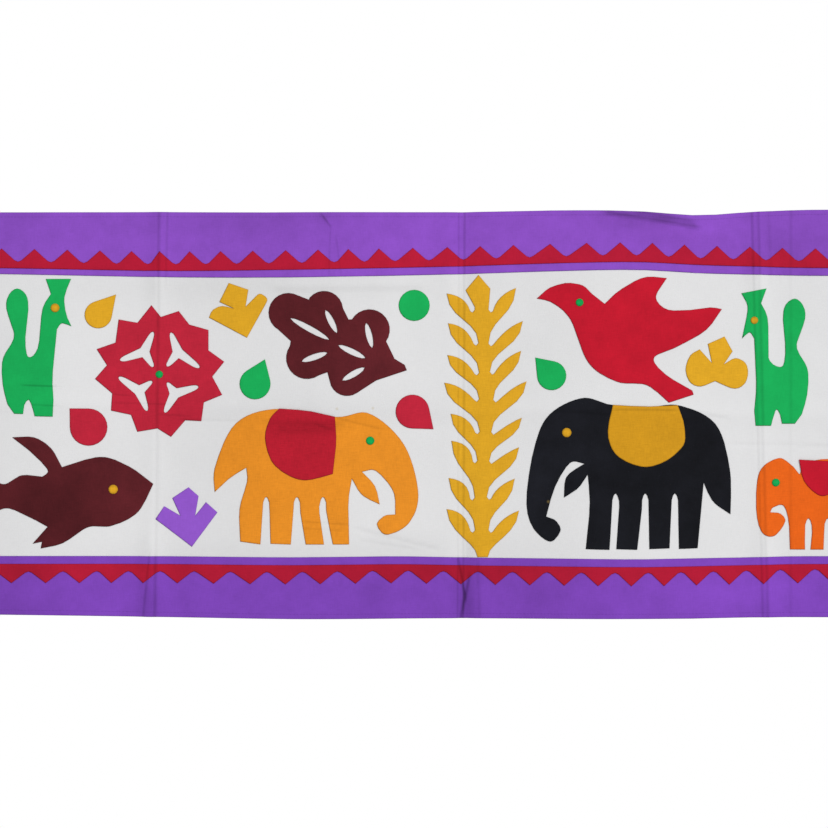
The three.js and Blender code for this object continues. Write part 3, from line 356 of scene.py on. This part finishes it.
def cut_squares(sheet, step):
    """Cuts a sheet along the folds and pressed lines, and into squares."""
    left, right, low, high = box_of(sheet)
    for line in LINES:
        for offset in (-line["half"], 0, line["half"]):
            place = line["start"] + line["side"] * offset
            if line["length"] > LONG_LINE * MM:
                cut_line(sheet, place, line["side"])
    for fold in FOLDS.values():
        side = Vector((HEIGHT, 0, fold["lean"])).normalized()
        for offset in (-CREST, 0, CREST):
            cut_line(sheet, Vector((fold["x"] + offset, 0, 0)), side)
    for i in range(math.ceil(left / step), math.floor(right / step) + 1):
        cut_line(sheet, Vector((i * step, 0, 0)), Vector((1, 0, 0)))
    for i in range(math.ceil(low / step), math.floor(high / step) + 1):
        cut_line(sheet, Vector((0, 0, i * step)), Vector((0, 0, 1)))
    for line in LINES:
        if line["length"] > LONG_LINE * MM:
            continue
        for offset in (-line["half"], 0, line["half"]):
            middle = line["start"] + line["along"] * line["length"] / 2
            reach = line["length"] / 2 + step
            near = [
                face for face in sheet.faces
                if (face.calc_center_median() - middle).length < reach
            ]
            if near:
                cut_line(sheet, line["start"] + line["side"] * offset, line["side"], near)


def has_cut_outs(sheet):
    """True where slits or holes go through a sheet: its open edges make more than one closed line."""
    left = {edge for edge in sheet.edges if edge.is_boundary}
    ahead = [next(iter(left))]
    while ahead:
        edge = ahead.pop()
        if edge in left:
            left.remove(edge)
            ahead.extend(near for vert in edge.verts for near in vert.link_edges)
    return bool(left)


def sew_edge(sheet, width):
    """Parts a strip along a sheet's outline from its middle, and fills the middle again in even faces."""
    pierced = has_cut_outs(sheet)
    inset = bmesh.ops.inset_region(
        sheet, faces=sheet.faces, use_boundary=True, use_even_offset=True, thickness=width, depth=0,
    )
    strip = set(inset["faces"])
    rim = [
        edge for edge in sheet.edges
        if len(strip.intersection(edge.link_faces)) == 1 and not edge.is_boundary
    ]
    middle = [face for face in sheet.faces if face not in strip]
    bmesh.ops.delete(sheet, geom=middle, context="FACES")
    if pierced:
        bmesh.ops.triangle_fill(
            sheet, use_beauty=True, use_dissolve=False, edges=rim, normal=(0, -1, 0),
        )
    else:
        corners = dict.fromkeys(vert for edge in rim for vert in edge.verts)
        filled = bmesh.ops.contextual_create(sheet, geom=list(corners) + rim)
        parts = bmesh.ops.triangulate(
            sheet, faces=filled["faces"], quad_method="BEAUTY", ngon_method="EAR_CLIP",
        )
        sheet.normal_update()
        turned = [face for face in parts["faces"] if face.normal.y > 0]
        bmesh.ops.reverse_faces(sheet, faces=turned)
    inner_edges = dict.fromkeys(
        edge for face in sheet.faces if face not in strip
        for edge in face.edges if not strip.intersection(edge.link_faces)
    )
    bmesh.ops.dissolve_limit(
        sheet, angle_limit=FLAT_ANGLE, use_dissolve_boundaries=False,
        verts=[], edges=list(inner_edges), delimit=set(),
    )
    sheet.normal_update()


def sew_cloth(scene, node, dye, layer, hem=None, tight=1.0):
    """Makes one piece of cloth over its CAD node.

    hem says which points of its outline have a stitched hem.
    tight is how much broader than usual the painted shade along its sewn edge is.
    """
    sizes = scene.hanging_sizes
    sheet = front_sheet(node)
    area = sum(face.calc_area() for face in sheet.faces)
    raw_outline = outline_points(sheet)
    sew_edge(sheet, sizes.roll_width)
    cut_squares(sheet, sizes.grid)
    bmesh.ops.remove_doubles(sheet, verts=sheet.verts, dist=CUT_WELD)
    edge_tree = nearest_to(raw_outline)
    inside_from = INSIDE * sizes.roll_width
    inner = [vert for vert in sheet.verts if edge_tree.find(vert.co)[2] > inside_from]
    bmesh.ops.remove_doubles(sheet, verts=inner, dist=SLIVER)

    from_edge = sheet.verts.layers.float.new("from_edge")
    from_hem = sheet.verts.layers.float.new("from_hem")
    # pressed holds the painted shade of the pressed lines and patches, and painted light where it is below 0
    pressed = sheet.verts.layers.float.new("pressed")
    weights = sheet.verts.layers.deform.verify()
    hem_points = [point for point in raw_outline if hem and hem(point)]
    hem_tree = nearest_to(hem_points) if hem_points else None
    lift = sizes.thickness + LAYERS[layer] * sizes.layer_step
    for vert in sheet.verts:
        flat_place = vert.co.copy()
        distance = edge_tree.find(flat_place)[2]
        # from_edge sets the painted shade along the sewn edge, so tight widens that shade
        vert[from_edge] = distance / tight
        vert[from_hem] = hem_tree.find(flat_place)[2] if hem_tree else FAR_FROM_HEM
        rise, shade = surface(flat_place)
        vert[pressed] = shade + patch_shade(node, flat_place)
        rolled = max(0.0, 1 - distance / sizes.roll_width)
        vert[weights][0] = 1 - rolled
        vert.co.y = -(rise + lift - rolled * sizes.roll_drop)
    sheet.normal_update()
    for face in sheet.faces:
        face.smooth = True

    mesh = bpy.data.meshes.new(f"{node}_cloth")
    sheet.to_mesh(mesh)
    sheet.free()
    piece = bpy.data.objects.new(f"{node}_cloth", mesh)
    scene.collection.objects.link(piece)
    piece.vertex_groups.new(name="full_thickness")
    thick = piece.modifiers.new("thickness", "SOLIDIFY")
    thick.thickness = sizes.thickness
    thick.offset = -1
    thick.vertex_group = "full_thickness"
    thick.thickness_vertex_group = 1 - sizes.roll_drop / sizes.thickness
    mesh.materials.append(cotton(scene, dye))

    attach(piece, "root")
    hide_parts(node)


# Dyed cotton
def linear(code):
    """Turns an sRGB hex colour to linear light."""
    channels = (int(code[i:i + 2], 16) / 255 for i in (1, 3, 5))
    return tuple(c / 12.92 if c <= 0.04045 else ((c + 0.055) / 1.055) ** 2.4 for c in channels)


def add_node(tree, kind, settings=None, links=None):
    """Adds a shader node; settings are its own or its inputs' values, links the sockets that feed it."""
    node = tree.nodes.new(kind)
    for name, value in (settings or {}).items():
        if isinstance(name, int) or name in node.inputs:
            node.inputs[name].default_value = value
        else:
            setattr(node, name, value)
    for name, socket in (links or {}).items():
        tree.links.new(socket, node.inputs[name])
    return node


# All the cloth is cotton in plain weave, spun by hand or half by hand: matt, with thick and thin yarns.
# slub is how much the yarns differ in tone, mottle and cloud how uneven the dye is from one spot and
# from one hand's breadth to the next, edge how dark the painted shade along the sewn edge is, and the last
# how strongly the painted shade and painted light of pressed lines and patches show on that cloth.
COTTONS = {
    # Bleached in the piece: yarns of one tone, and only faint painted shade on its folds
    "white": {
        "name": "bleached plain-weave cotton", "slot": "white",
        "slub": 0.02, "mottle": 0.008, "cloud": 0.02, "edge": 0.10, "crease": 0.3,
    },
    # Sheeting has even yarns: a smooth tone, a little cloudy where the dye took unevenly
    "purple": {
        "name": "purple dyed cotton sheeting", "slot": "purple",
        "slub": 0.05, "mottle": 0.07, "cloud": 0.05, "edge": 0.25, "crease": 1,
    },
    "lilac": {
        "name": "lilac dyed cotton sheeting", "slot": "purple",
        "slub": 0.05, "mottle": 0.04, "cloud": 0.03, "edge": 0.25, "crease": 1,
    },
    # The bottom band's purple in painted shade: the top band's sheeting made darker, as less light reaches it
    "shaded_purple": {
        "name": "violet dyed cotton sheeting", "slot": "purple",
        "slub": 0.05, "mottle": 0.07, "cloud": 0.06, "edge": 0.25, "crease": 1,
    },
    "red": {
        "name": "dark red dyed cotton sheeting", "slot": "red",
        "slub": 0.06, "mottle": 0.07, "cloud": 0.06, "edge": 0.35, "crease": 1,
    },
    "green": {
        "name": "green dyed cotton sheeting", "slot": "green",
        "slub": 0.05, "mottle": 0.06, "cloud": 0.05, "edge": 0.30, "crease": 1,
    },
    # Slub cotton has thick and thin yarns: short streaks both ways
    "crimson": {
        "name": "crimson dyed slub cotton", "slot": "crimson",
        "slub": 0.08, "mottle": 0.07, "cloud": 0.07, "edge": 0.40, "crease": 1,
    },
    "scarlet": {
        "name": "scarlet dyed slub cotton", "slot": "crimson",
        "slub": 0.07, "mottle": 0.08, "cloud": 0.06, "edge": 0.40, "crease": 1,
    },
    "cherry": {
        "name": "cherry red dyed slub cotton", "slot": "crimson",
        "slub": 0.11, "mottle": 0.05, "cloud": 0.03, "edge": 0.40, "crease": 1,
    },
    "mustard": {
        "name": "mustard dyed slub cotton", "slot": "mustard",
        "slub": 0.08, "mottle": 0.05, "cloud": 0.04, "edge": 0.35, "crease": 1,
    },
    "ochre": {
        "name": "ochre dyed slub cotton", "slot": "mustard",
        "slub": 0.08, "mottle": 0.06, "cloud": 0.04, "edge": 0.45, "crease": 1,
    },
    "amber": {
        "name": "amber dyed slub cotton", "slot": "amber",
        "slub": 0.08, "mottle": 0.05, "cloud": 0.04, "edge": 0.35, "crease": 1,
    },
    "orange": {
        "name": "orange dyed slub cotton", "slot": "orange",
        "slub": 0.07, "mottle": 0.05, "cloud": 0.03, "edge": 0.35, "crease": 1,
    },
    # The deepest dyes take most unevenly: a tone that drifts over a hand's breadth
    "maroon": {
        "name": "maroon dyed cotton sheeting", "slot": "maroon",
        "slub": 0.10, "mottle": 0.14, "cloud": 0.18, "edge": 0.30, "crease": 1,
    },
    "black": {
        "name": "blue-black dyed cotton sheeting", "slot": "black",
        "slub": 0.12, "mottle": 0.22, "cloud": 0.30, "edge": 0.20, "crease": 1,
    },
}
# A thread is 0.4 mm, too fine to show, so the yarns are drawn as the slubs that show: 1.4 mm by 12 mm
SLUB = {"width": 1.4 * MM, "length": 12 * MM}
THREAD = 0.8 * MM  # drawn twice as coarse as the real thread, to show in a close view
THREAD_LENGTH = 3.2 * MM  # how far a thread keeps its thickness
MOTTLE_SIZE = 32 * MM
CLOUD_SIZE = 150 * MM
NOISE_REACH = 4  # noise mostly stays in the middle quarter of its range, so an amount counts this often
DEEPEST_LINE = 4  # the greatest painted shade of the pressed lines and patches
# Painted shade along the sewn edge: full within dark_to of the edge, gone from clear_from
SEWN_EDGE_SHADE = {"dark_to": 0.2 * MM, "clear_from": 1.4 * MM}
STITCH = {"from_edge": 7 * MM, "half": 0.9 * MM, "pitch": 5 * MM, "tone": 0.82}
# A dash of thread shows where the wave along the hem is high, and the dimple between two where it is low
DASH = {"low": -0.4, "high": 0.2, "dimple": 0.35}
RELIEF = {"slubs": 0.5, "threads": 1.2, "stitches": 1.5, "strength": 0.35, "depth": 0.4 * MM}
# Faint tea-coloured specks on the panel, and a piece of lint on the dark elephant's trunk
SPECKS = (
    {"on": "white", "place": (-141 * MM, 0, -291 * MM), "colour": "#c5b384", "amount": 0.5},
    {"on": "white", "place": (-88 * MM, 0, -290 * MM), "colour": "#c5b384", "amount": 0.5},
    {"on": "black", "place": (171 * MM, 0, -428 * MM), "colour": "#8a7440", "amount": 0.7},
)
SPECK_SIZE = 3 * MM
# Where the Mix node keeps its factor, its two colours and the mixed colour
MIX_FACTOR, MIX_FIRST, MIX_SECOND, MIX_RESULT = 0, 6, 7, 2


def yarns(tree, place, size_x, size_z):
    """Noise stretched along one set of yarns, from 0 to 1."""
    mapped = add_node(tree, "ShaderNodeMapping", {"Scale": (1 / size_x, 0, 1 / size_z)}, {"Vector": place})
    settings = {"Scale": 1, "Detail": 2, "Roughness": 0.6}
    grain = add_node(tree, "ShaderNodeTexNoise", settings, {"Vector": mapped.outputs[0]})
    return grain.outputs["Fac"]


def calc(tree, operation, first, second=0):
    """The result of one sum; each side is a number or a socket."""
    node = add_node(tree, "ShaderNodeMath", {"operation": operation})
    for i, side in enumerate((first, second)):
        if isinstance(side, (int, float)):
            node.inputs[i].default_value = side
        else:
            tree.links.new(side, node.inputs[i])
    return node.outputs[0]


def spread(tree, socket, low, high, to_low, to_high):
    """Maps a range of a socket to another range, held at its ends."""
    settings = {"From Min": low, "From Max": high, "To Min": to_low, "To Max": to_high}
    return add_node(tree, "ShaderNodeMapRange", settings, {"Value": socket}).outputs[0]


def hem_stitches(tree, place, from_hem):
    """1 in the dashes of a line of stitches at an even distance from the hem, 0 elsewhere."""
    off_line = calc(tree, "ABSOLUTE", calc(tree, "SUBTRACT", from_hem, STITCH["from_edge"]))
    line = spread(tree, off_line, 0, STITCH["half"], 1, 0)
    parts = add_node(tree, "ShaderNodeSeparateXYZ", links={"Vector": place})
    along = calc(tree, "ADD", parts.outputs["X"], parts.outputs["Z"])
    wave = calc(tree, "SINE", calc(tree, "MULTIPLY", along, math.tau / STITCH["pitch"]))
    dashes = spread(tree, wave, DASH["low"], DASH["high"], DASH["dimple"], 1)
    return calc(tree, "MULTIPLY", line, dashes)


def cotton(scene, dye):
    """The material of one dyed cotton; it is made once and then shared."""
    row = COTTONS[dye]
    name = row["name"].replace(" ", "_").replace("-", "_")
    if name in bpy.data.materials:
        return bpy.data.materials[name]
    material = bpy.data.materials.new(name)
    material.use_nodes = True
    tree = material.node_tree
    tree.nodes.clear()
    place = add_node(tree, "ShaderNodeTexCoord").outputs["Object"]
    attribute = {
        key: add_node(tree, "ShaderNodeAttribute", {"attribute_name": key}).outputs["Fac"]
        for key in ("from_edge", "from_hem", "pressed")
    }

    warp = yarns(tree, place, SLUB["width"], SLUB["length"])
    weft = yarns(tree, place, SLUB["length"], SLUB["width"])
    slubs = calc(tree, "SUBTRACT", calc(tree, "ADD", warp, weft), 1)
    warp_thread = yarns(tree, place, THREAD, THREAD_LENGTH)
    weft_thread = yarns(tree, place, THREAD_LENGTH, THREAD)
    fine = calc(tree, "MULTIPLY", warp_thread, weft_thread)
    value = calc(tree, "ADD", calc(tree, "MULTIPLY", slubs, NOISE_REACH * row["slub"]), 1)
    for size, amount in ((MOTTLE_SIZE, row["mottle"]), (CLOUD_SIZE, row["cloud"])):
        patches = calc(tree, "SUBTRACT", yarns(tree, place, size, size), 0.5)
        value = calc(tree, "ADD", value, calc(tree, "MULTIPLY", patches, NOISE_REACH * amount))
    # The strongest painted shade and painted light that pressed lines and patches give this cloth
    deepest = DEEPEST_LINE * scene.hanging_sizes.painted_shade_strength * row["crease"]
    stitched = hem_stitches(tree, place, attribute["from_hem"])
    # Painted shade along the sewn edge
    edge_shade_tone = spread(
        tree, attribute["from_edge"], SEWN_EDGE_SHADE["dark_to"], SEWN_EDGE_SHADE["clear_from"], 1 - row["edge"], 1,
    )
    painted_shade_tone = spread(
        tree, attribute["pressed"], -DEEPEST_LINE, DEEPEST_LINE, 1 + deepest, 1 - deepest,
    )
    stitch_tone = spread(tree, stitched, 0, 1, 1, STITCH["tone"])
    for tone in (edge_shade_tone, painted_shade_tone, stitch_tone):
        value = calc(tree, "MULTIPLY", value, tone)
    colour = (*getattr(scene.hanging_dyes, dye), 1)
    dyed = add_node(tree, "ShaderNodeHueSaturation", {"Color": colour}, {"Value": value}).outputs["Color"]
    for speck in SPECKS:
        if speck["on"] == dye:
            dyed = with_speck(tree, place, dyed, speck)

    slub_height = calc(tree, "MULTIPLY", slubs, RELIEF["slubs"])
    height = calc(tree, "ADD", slub_height, calc(tree, "MULTIPLY", fine, RELIEF["threads"]))
    height = calc(tree, "SUBTRACT", height, calc(tree, "MULTIPLY", stitched, RELIEF["stitches"]))
    settings = {"Strength": RELIEF["strength"], "Distance": RELIEF["depth"]}
    bump = add_node(tree, "ShaderNodeBump", settings, {"Height": height})
    matt = {
        "Roughness": 0.88, "IOR": 1.5, "Specular IOR Level": 0.12,
        "Sheen Weight": 0.04, "Sheen Roughness": 0.5,
    }
    links = {"Base Color": dyed, "Normal": bump.outputs["Normal"]}
    shader = add_node(tree, "ShaderNodeBsdfPrincipled", matt, links)
    add_node(tree, "ShaderNodeOutputMaterial", links={"Surface": shader.outputs["BSDF"]})
    return material


def with_speck(tree, place, colour, speck):
    """Adds one small speck to a colour."""
    flat = add_node(tree, "ShaderNodeMapping", {"Scale": (1, 0, 1)}, {"Vector": place})
    settings = {"operation": "DISTANCE", 1: speck["place"]}
    away = add_node(tree, "ShaderNodeVectorMath", settings, {0: flat.outputs[0]})
    amount = spread(tree, away.outputs["Value"], 0, SPECK_SIZE, speck["amount"], 0)
    settings = {"data_type": "RGBA", MIX_SECOND: (*linear(speck["colour"]), 1)}
    mix = add_node(tree, "ShaderNodeMix", settings, {MIX_FACTOR: amount, MIX_FIRST: colour})
    return mix.outputs[MIX_RESULT]


# Sizes and colours that a user would change
def length_property(name, description, default):
    """A size in metres."""
    return bpy.props.FloatProperty(
        name=name, description=description, default=default, min=0, unit="LENGTH", precision=5,
    )


def dye_property(name, description, code):
    """A colour, given as sRGB hex."""
    return bpy.props.FloatVectorProperty(
        name=name, description=description, default=linear(code), size=3, min=0, max=1, subtype="COLOR",
    )


class HangingSizes(bpy.types.PropertyGroup):
    """How the cloth is cut and sewn"""
    grid: length_property("Grid", "Side of the squares that the cloth bends along", 5 * MM)
    thickness: length_property("Cloth thickness", "Thickness of one layer with its turned edge", 0.9 * MM)
    layer_step: length_property("Layer step", "How far each layer stands before the one below it", 1.05 * MM)
    roll_width: length_property("Rolled edge width", "How wide the sewn edge is rounded", 1.3 * MM)
    roll_drop: length_property("Rolled edge drop", "How far the sewn edge is drawn down", 0.45 * MM)
    # How strong the painted shade along pressed lines and on the soft patches is
    painted_shade_strength: bpy.props.FloatProperty(
        name="Pressed lines", description="How dark the pressed lines are",
        default=0.18, min=0, max=0.4, subtype="FACTOR",
    )


class HangingDyes(bpy.types.PropertyGroup):
    """Colours of the cotton"""
    white: dye_property("White", "Bleached ground of the panel", "#e8e8e9")
    purple: dye_property("Purple", "Top band", "#9153cb")
    lilac: dye_property("Lilac", "Sprig below the rosette", "#995cd4")
    # Painted shade: the purple made darker for the bottom band, which gets less light
    shaded_purple: dye_property("Violet", "Bottom band", "#8147bd")
    red: dye_property("Red", "Sawtooth strips", "#b81936")
    crimson: dye_property("Crimson", "Rosette and drops", "#c4253c")
    scarlet: dye_property("Scarlet", "Bird and the saddle of the small elephant", "#c8172e")
    cherry: dye_property("Cherry", "Saddle of the light elephant", "#bc1c30")
    green: dye_property("Green", "Peacocks, drops and disc", "#18b25a")
    mustard: dye_property("Mustard", "Fern and sprigs", "#e6ac26")
    ochre: dye_property("Ochre", "Saddle of the dark elephant", "#d79b1e")
    amber: dye_property("Amber", "Large light elephant", "#ef9427")
    orange: dye_property("Orange", "Small elephant", "#f06819")
    maroon: dye_property("Maroon", "Fish and lobed leaf", "#5c1e24")
    black: dye_property("Black", "Large dark elephant", "#15161c")


PHOTO_PIXELS = 828  # the photo's width
PIXEL_SPAN = 1.478  # millimetres of cloth in one pixel of the photo


class StageSettings(bpy.types.PropertyGroup):
    """Camera and light"""
    lens: bpy.props.FloatProperty(
        name="Lens", description="Focal length of the camera", default=100, min=20, unit="CAMERA",
    )
    view_width: length_property(
        "View width", "Width of the picture at the cloth", PHOTO_PIXELS * PIXEL_SPAN * MM,
    )
    view_x: bpy.props.FloatProperty(
        name="View across", description="Middle of the picture, across", default=-27.3 * MM, unit="LENGTH",
    )
    view_z: bpy.props.FloatProperty(
        name="View up", description="Middle of the picture, up", default=-298.6 * MM, unit="LENGTH",
    )
    key_power: bpy.props.FloatProperty(
        name="Key light", description="Power of the large lamp above the camera",
        default=900, min=0, unit="POWER",
    )
    sky: bpy.props.FloatProperty(
        name="Room light", description="Brightness of the white room", default=0.49, min=0,
    )


# Pieces
FREE_FROM = 5 * MM  # a band's edge is free where it lies this far above or below the panel
END_REACH = 2 * MM  # how near to the panel's end a point of its outline counts as on it


def on_band_outside(point):
    """True on the free edges of a band: its long outer edge and its ends beyond the panel."""
    return not PANEL_LOW[2] - FREE_FROM < point.z < PANEL_HIGH[2] + FREE_FROM


def on_panel_end(point):
    """True on the two ends of the white panel."""
    return abs(point.x) > PANEL_HIGH[0] - END_REACH


class HANGING_OT_panel(bpy.types.Operator):
    """Cut and hang the white panel"""
    bl_idname = "hanging.panel"
    bl_label = "White Panel"

    def execute(self, context):
        sew_cloth(context.scene, "white_panel", "white", "panel", hem=on_panel_end)
        return {"FINISHED"}


class HANGING_OT_bands(bpy.types.Operator):
    """Cut and hang the two purple bands"""
    bl_idname = "hanging.bands"
    bl_label = "Bands"

    def execute(self, context):
        for node, dye in (("top_band", "purple"), ("bottom_band", "shaded_purple")):
            sew_cloth(context.scene, node, dye, "patch", hem=on_band_outside)
        return {"FINISHED"}


class HANGING_OT_sawteeth(bpy.types.Operator):
    """Cut the two sawtooth strips and sew them to the bands"""
    bl_idname = "hanging.sawteeth"
    bl_label = "Sawtooth Strips"

    def execute(self, context):
        sew_cloth(context.scene, "top_sawtooth", "red", "top")
        sew_cloth(context.scene, "bottom_sawtooth", "red", "top")
        return {"FINISHED"}


class HANGING_OT_elephants(bpy.types.Operator):
    """Cut the three elephants and their saddle cloths"""
    bl_idname = "hanging.elephants"
    bl_label = "Elephants"

    def execute(self, context):
        for dye, saddle_dye in (("amber", "cherry"), ("black", "ochre"), ("orange", "scarlet")):
            sew_cloth(context.scene, f"elephant_{dye}", dye, "patch")
            sew_cloth(context.scene, f"saddle_{dye}_elephant", saddle_dye, "top")
        return {"FINISHED"}


class HANGING_OT_birds(bpy.types.Operator):
    """Cut the two peacocks and the bird in flight"""
    bl_idname = "hanging.birds"
    bl_label = "Birds"

    def execute(self, context):
        sew_cloth(context.scene, "peacock_left", "green", "patch")
        sew_cloth(context.scene, "peacock_right", "green", "patch")
        sew_cloth(context.scene, "bird", "scarlet", "patch")
        return {"FINISHED"}


class HANGING_OT_fish(bpy.types.Operator):
    """Cut the fish"""
    bl_idname = "hanging.fish"
    bl_label = "Fish"

    def execute(self, context):
        sew_cloth(context.scene, "fish", "maroon", "patch")
        return {"FINISHED"}


class HANGING_OT_leaves(bpy.types.Operator):
    """Cut the lobed leaf, the fern and the sprigs"""
    bl_idname = "hanging.leaves"
    bl_label = "Leaves"

    def execute(self, context):
        sew_cloth(context.scene, "lobed_leaf", "maroon", "patch")
        sew_cloth(context.scene, "fern", "mustard", "patch")
        sew_cloth(context.scene, "sprig_mustard_left", "mustard", "patch")
        sew_cloth(context.scene, "sprig_mustard_right", "mustard", "patch")
        sew_cloth(context.scene, "sprig_purple", "lilac", "patch")
        return {"FINISHED"}


class HANGING_OT_rosette(bpy.types.Operator):
    """Cut the pierced rosette and the dot at its middle"""
    bl_idname = "hanging.rosette"
    bl_label = "Rosette"

    def execute(self, context):
        sew_cloth(context.scene, "rosette", "crimson", "patch")
        sew_cloth(context.scene, "rosette_middle", "green", "top", tight=EYE_TIGHT)
        return {"FINISHED"}


class HANGING_OT_drops(bpy.types.Operator):
    """Cut the small drops and the round disc"""
    bl_idname = "hanging.drops"
    bl_label = "Drops"

    def execute(self, context):
        drops = (
            ("drop_mustard", "mustard"), ("drop_green_left", "green"), ("drop_green_right", "green"),
            ("drop_crimson_left", "crimson"), ("drop_crimson_right", "crimson"), ("disc_green", "green"),
        )
        for node, dye in drops:
            sew_cloth(context.scene, node, dye, "patch")
        return {"FINISHED"}


class HANGING_OT_eyes(bpy.types.Operator):
    """Cut the animals' round eyes"""
    bl_idname = "hanging.eyes"
    bl_label = "Eyes"

    def execute(self, context):
        eyes = (
            ("peacock_left", "mustard"), ("peacock_right", "mustard"), ("fish", "mustard"),
            ("bird", "green"), ("elephant_amber", "green"), ("elephant_black", "mustard"),
            ("elephant_orange", "green"),
        )
        for animal, dye in eyes:
            sew_cloth(context.scene, f"eye_{animal}", dye, "top", tight=EYE_TIGHT)
        return {"FINISHED"}


# Stage
SENSOR = 36  # millimetres, the width of the camera's film
FARTHEST_VIEW = 20
KEY_LAMP = {"place": (6.0, -10.4, 5.0), "size": (4.8, 3.6)}
FLOOR = {"down": 1.08, "radius": 0.9, "corners": 96}


def aim(thing, target):
    """Turns a camera or lamp towards a point."""
    thing.rotation_euler = (Vector(target) - thing.location).to_track_quat("-Z", "Y").to_euler()


def soft_lamp(scene, name, place, target, size, power):
    """One large soft lamp."""
    light = bpy.data.lights.new(name, "AREA")
    light.shape = "RECTANGLE"
    light.size, light.size_y = size
    light.energy = power
    lamp = bpy.data.objects.new(name, light)
    scene.collection.objects.link(lamp)
    lamp.location = place
    aim(lamp, target)


def light_room(scene, brightness):
    """A white room: plain white to the eye, and a softer light on the cloth."""
    world = bpy.data.worlds.new("white_room")
    world.use_nodes = True
    tree = world.node_tree
    tree.nodes.clear()
    seen = add_node(tree, "ShaderNodeLightPath").outputs["Is Camera Ray"]
    strength = spread(tree, seen, 0, 1, brightness, 1)
    white = add_node(tree, "ShaderNodeBackground", {"Color": (1, 1, 1, 1)}, {"Strength": strength})
    add_node(tree, "ShaderNodeOutputWorld", links={"Surface": white.outputs[0]})
    scene.world = world


def lay_floor(scene):
    """A pale round floor below the hanging, out of the camera's view."""
    floor = bmesh.new()
    bmesh.ops.create_circle(
        floor, cap_ends=True, segments=FLOOR["corners"], radius=FLOOR["radius"],
    )
    bmesh.ops.translate(floor, verts=floor.verts, vec=(0, 0, -FLOOR["down"]))
    mesh = bpy.data.meshes.new("floor")
    floor.to_mesh(mesh)
    floor.free()
    piece = bpy.data.objects.new("floor", mesh)
    scene.collection.objects.link(piece)
    paint = bpy.data.materials.new("pale_matt_floor_paint")
    paint.use_nodes = True
    shader = paint.node_tree.nodes["Principled BSDF"]
    shader.inputs["Base Color"].default_value = (*linear("#efefee"), 1)
    shader.inputs["Roughness"].default_value = 0.8
    mesh.materials.append(paint)


class HANGING_OT_stage(bpy.types.Operator):
    """Set up the camera, the lamp, the white room and the floor"""
    bl_idname = "hanging.stage"
    bl_label = "Stage"

    def execute(self, context):
        scene = context.scene
        stage = scene.hanging_stage
        scene.view_settings.view_transform = "Standard"
        middle = Vector((stage.view_x, 0, stage.view_z))
        distance = stage.view_width * stage.lens / SENSOR
        data = bpy.data.cameras.new("camera")
        data.lens = stage.lens
        data.sensor_width = SENSOR
        data.clip_end = FARTHEST_VIEW
        camera = bpy.data.objects.new("camera", data)
        scene.collection.objects.link(camera)
        camera.location = middle + Vector((0, -distance, 0))
        aim(camera, middle)
        scene.camera = camera
        soft_lamp(scene, "key_lamp", KEY_LAMP["place"], middle, KEY_LAMP["size"], stage.key_power)
        light_room(scene, stage.sky)
        lay_floor(scene)
        return {"FINISHED"}


STEPS = (
    HANGING_OT_stage, HANGING_OT_panel, HANGING_OT_bands, HANGING_OT_sawteeth,
    HANGING_OT_elephants, HANGING_OT_birds, HANGING_OT_fish, HANGING_OT_leaves,
    HANGING_OT_rosette, HANGING_OT_drops, HANGING_OT_eyes,
)


class HANGING_PT_sidebar(bpy.types.Panel):
    """Sizes, dyes and steps of the hanging"""
    bl_idname = "HANGING_PT_sidebar"
    bl_label = "Applique Wall Hanging"
    bl_space_type = "VIEW_3D"
    bl_region_type = "UI"
    bl_category = "Hanging"

    def draw(self, context):
        scene = context.scene
        for group in (scene.hanging_sizes, scene.hanging_dyes, scene.hanging_stage):
            box = self.layout.box()
            for name in group.__annotations__:
                box.prop(group, name)
        for step in STEPS:
            self.layout.operator(step.bl_idname)


GROUPS = (
    ("hanging_sizes", HangingSizes),
    ("hanging_dyes", HangingDyes),
    ("hanging_stage", StageSettings),
)


def register():
    """Adds the settings, the operators and the panel."""
    for name, group in GROUPS:
        bpy.utils.register_class(group)
        setattr(bpy.types.Scene, name, bpy.props.PointerProperty(type=group))
    for part in (*STEPS, HANGING_PT_sidebar):
        bpy.utils.register_class(part)


def unregister():
    """Takes them away again."""
    for part in (HANGING_PT_sidebar, *reversed(STEPS)):
        bpy.utils.unregister_class(part)
    for name, group in reversed(GROUPS):
        delattr(bpy.types.Scene, name)
        bpy.utils.unregister_class(group)


def main():
    """Runs every step in order."""
    register()
    bpy.ops.hanging.stage()
    bpy.ops.hanging.panel()
    bpy.ops.hanging.bands()
    bpy.ops.hanging.sawteeth()
    bpy.ops.hanging.elephants()
    bpy.ops.hanging.birds()
    bpy.ops.hanging.fish()
    bpy.ops.hanging.leaves()
    bpy.ops.hanging.rosette()
    bpy.ops.hanging.drops()
    bpy.ops.hanging.eyes()


if __name__ == "__main__":
    main()
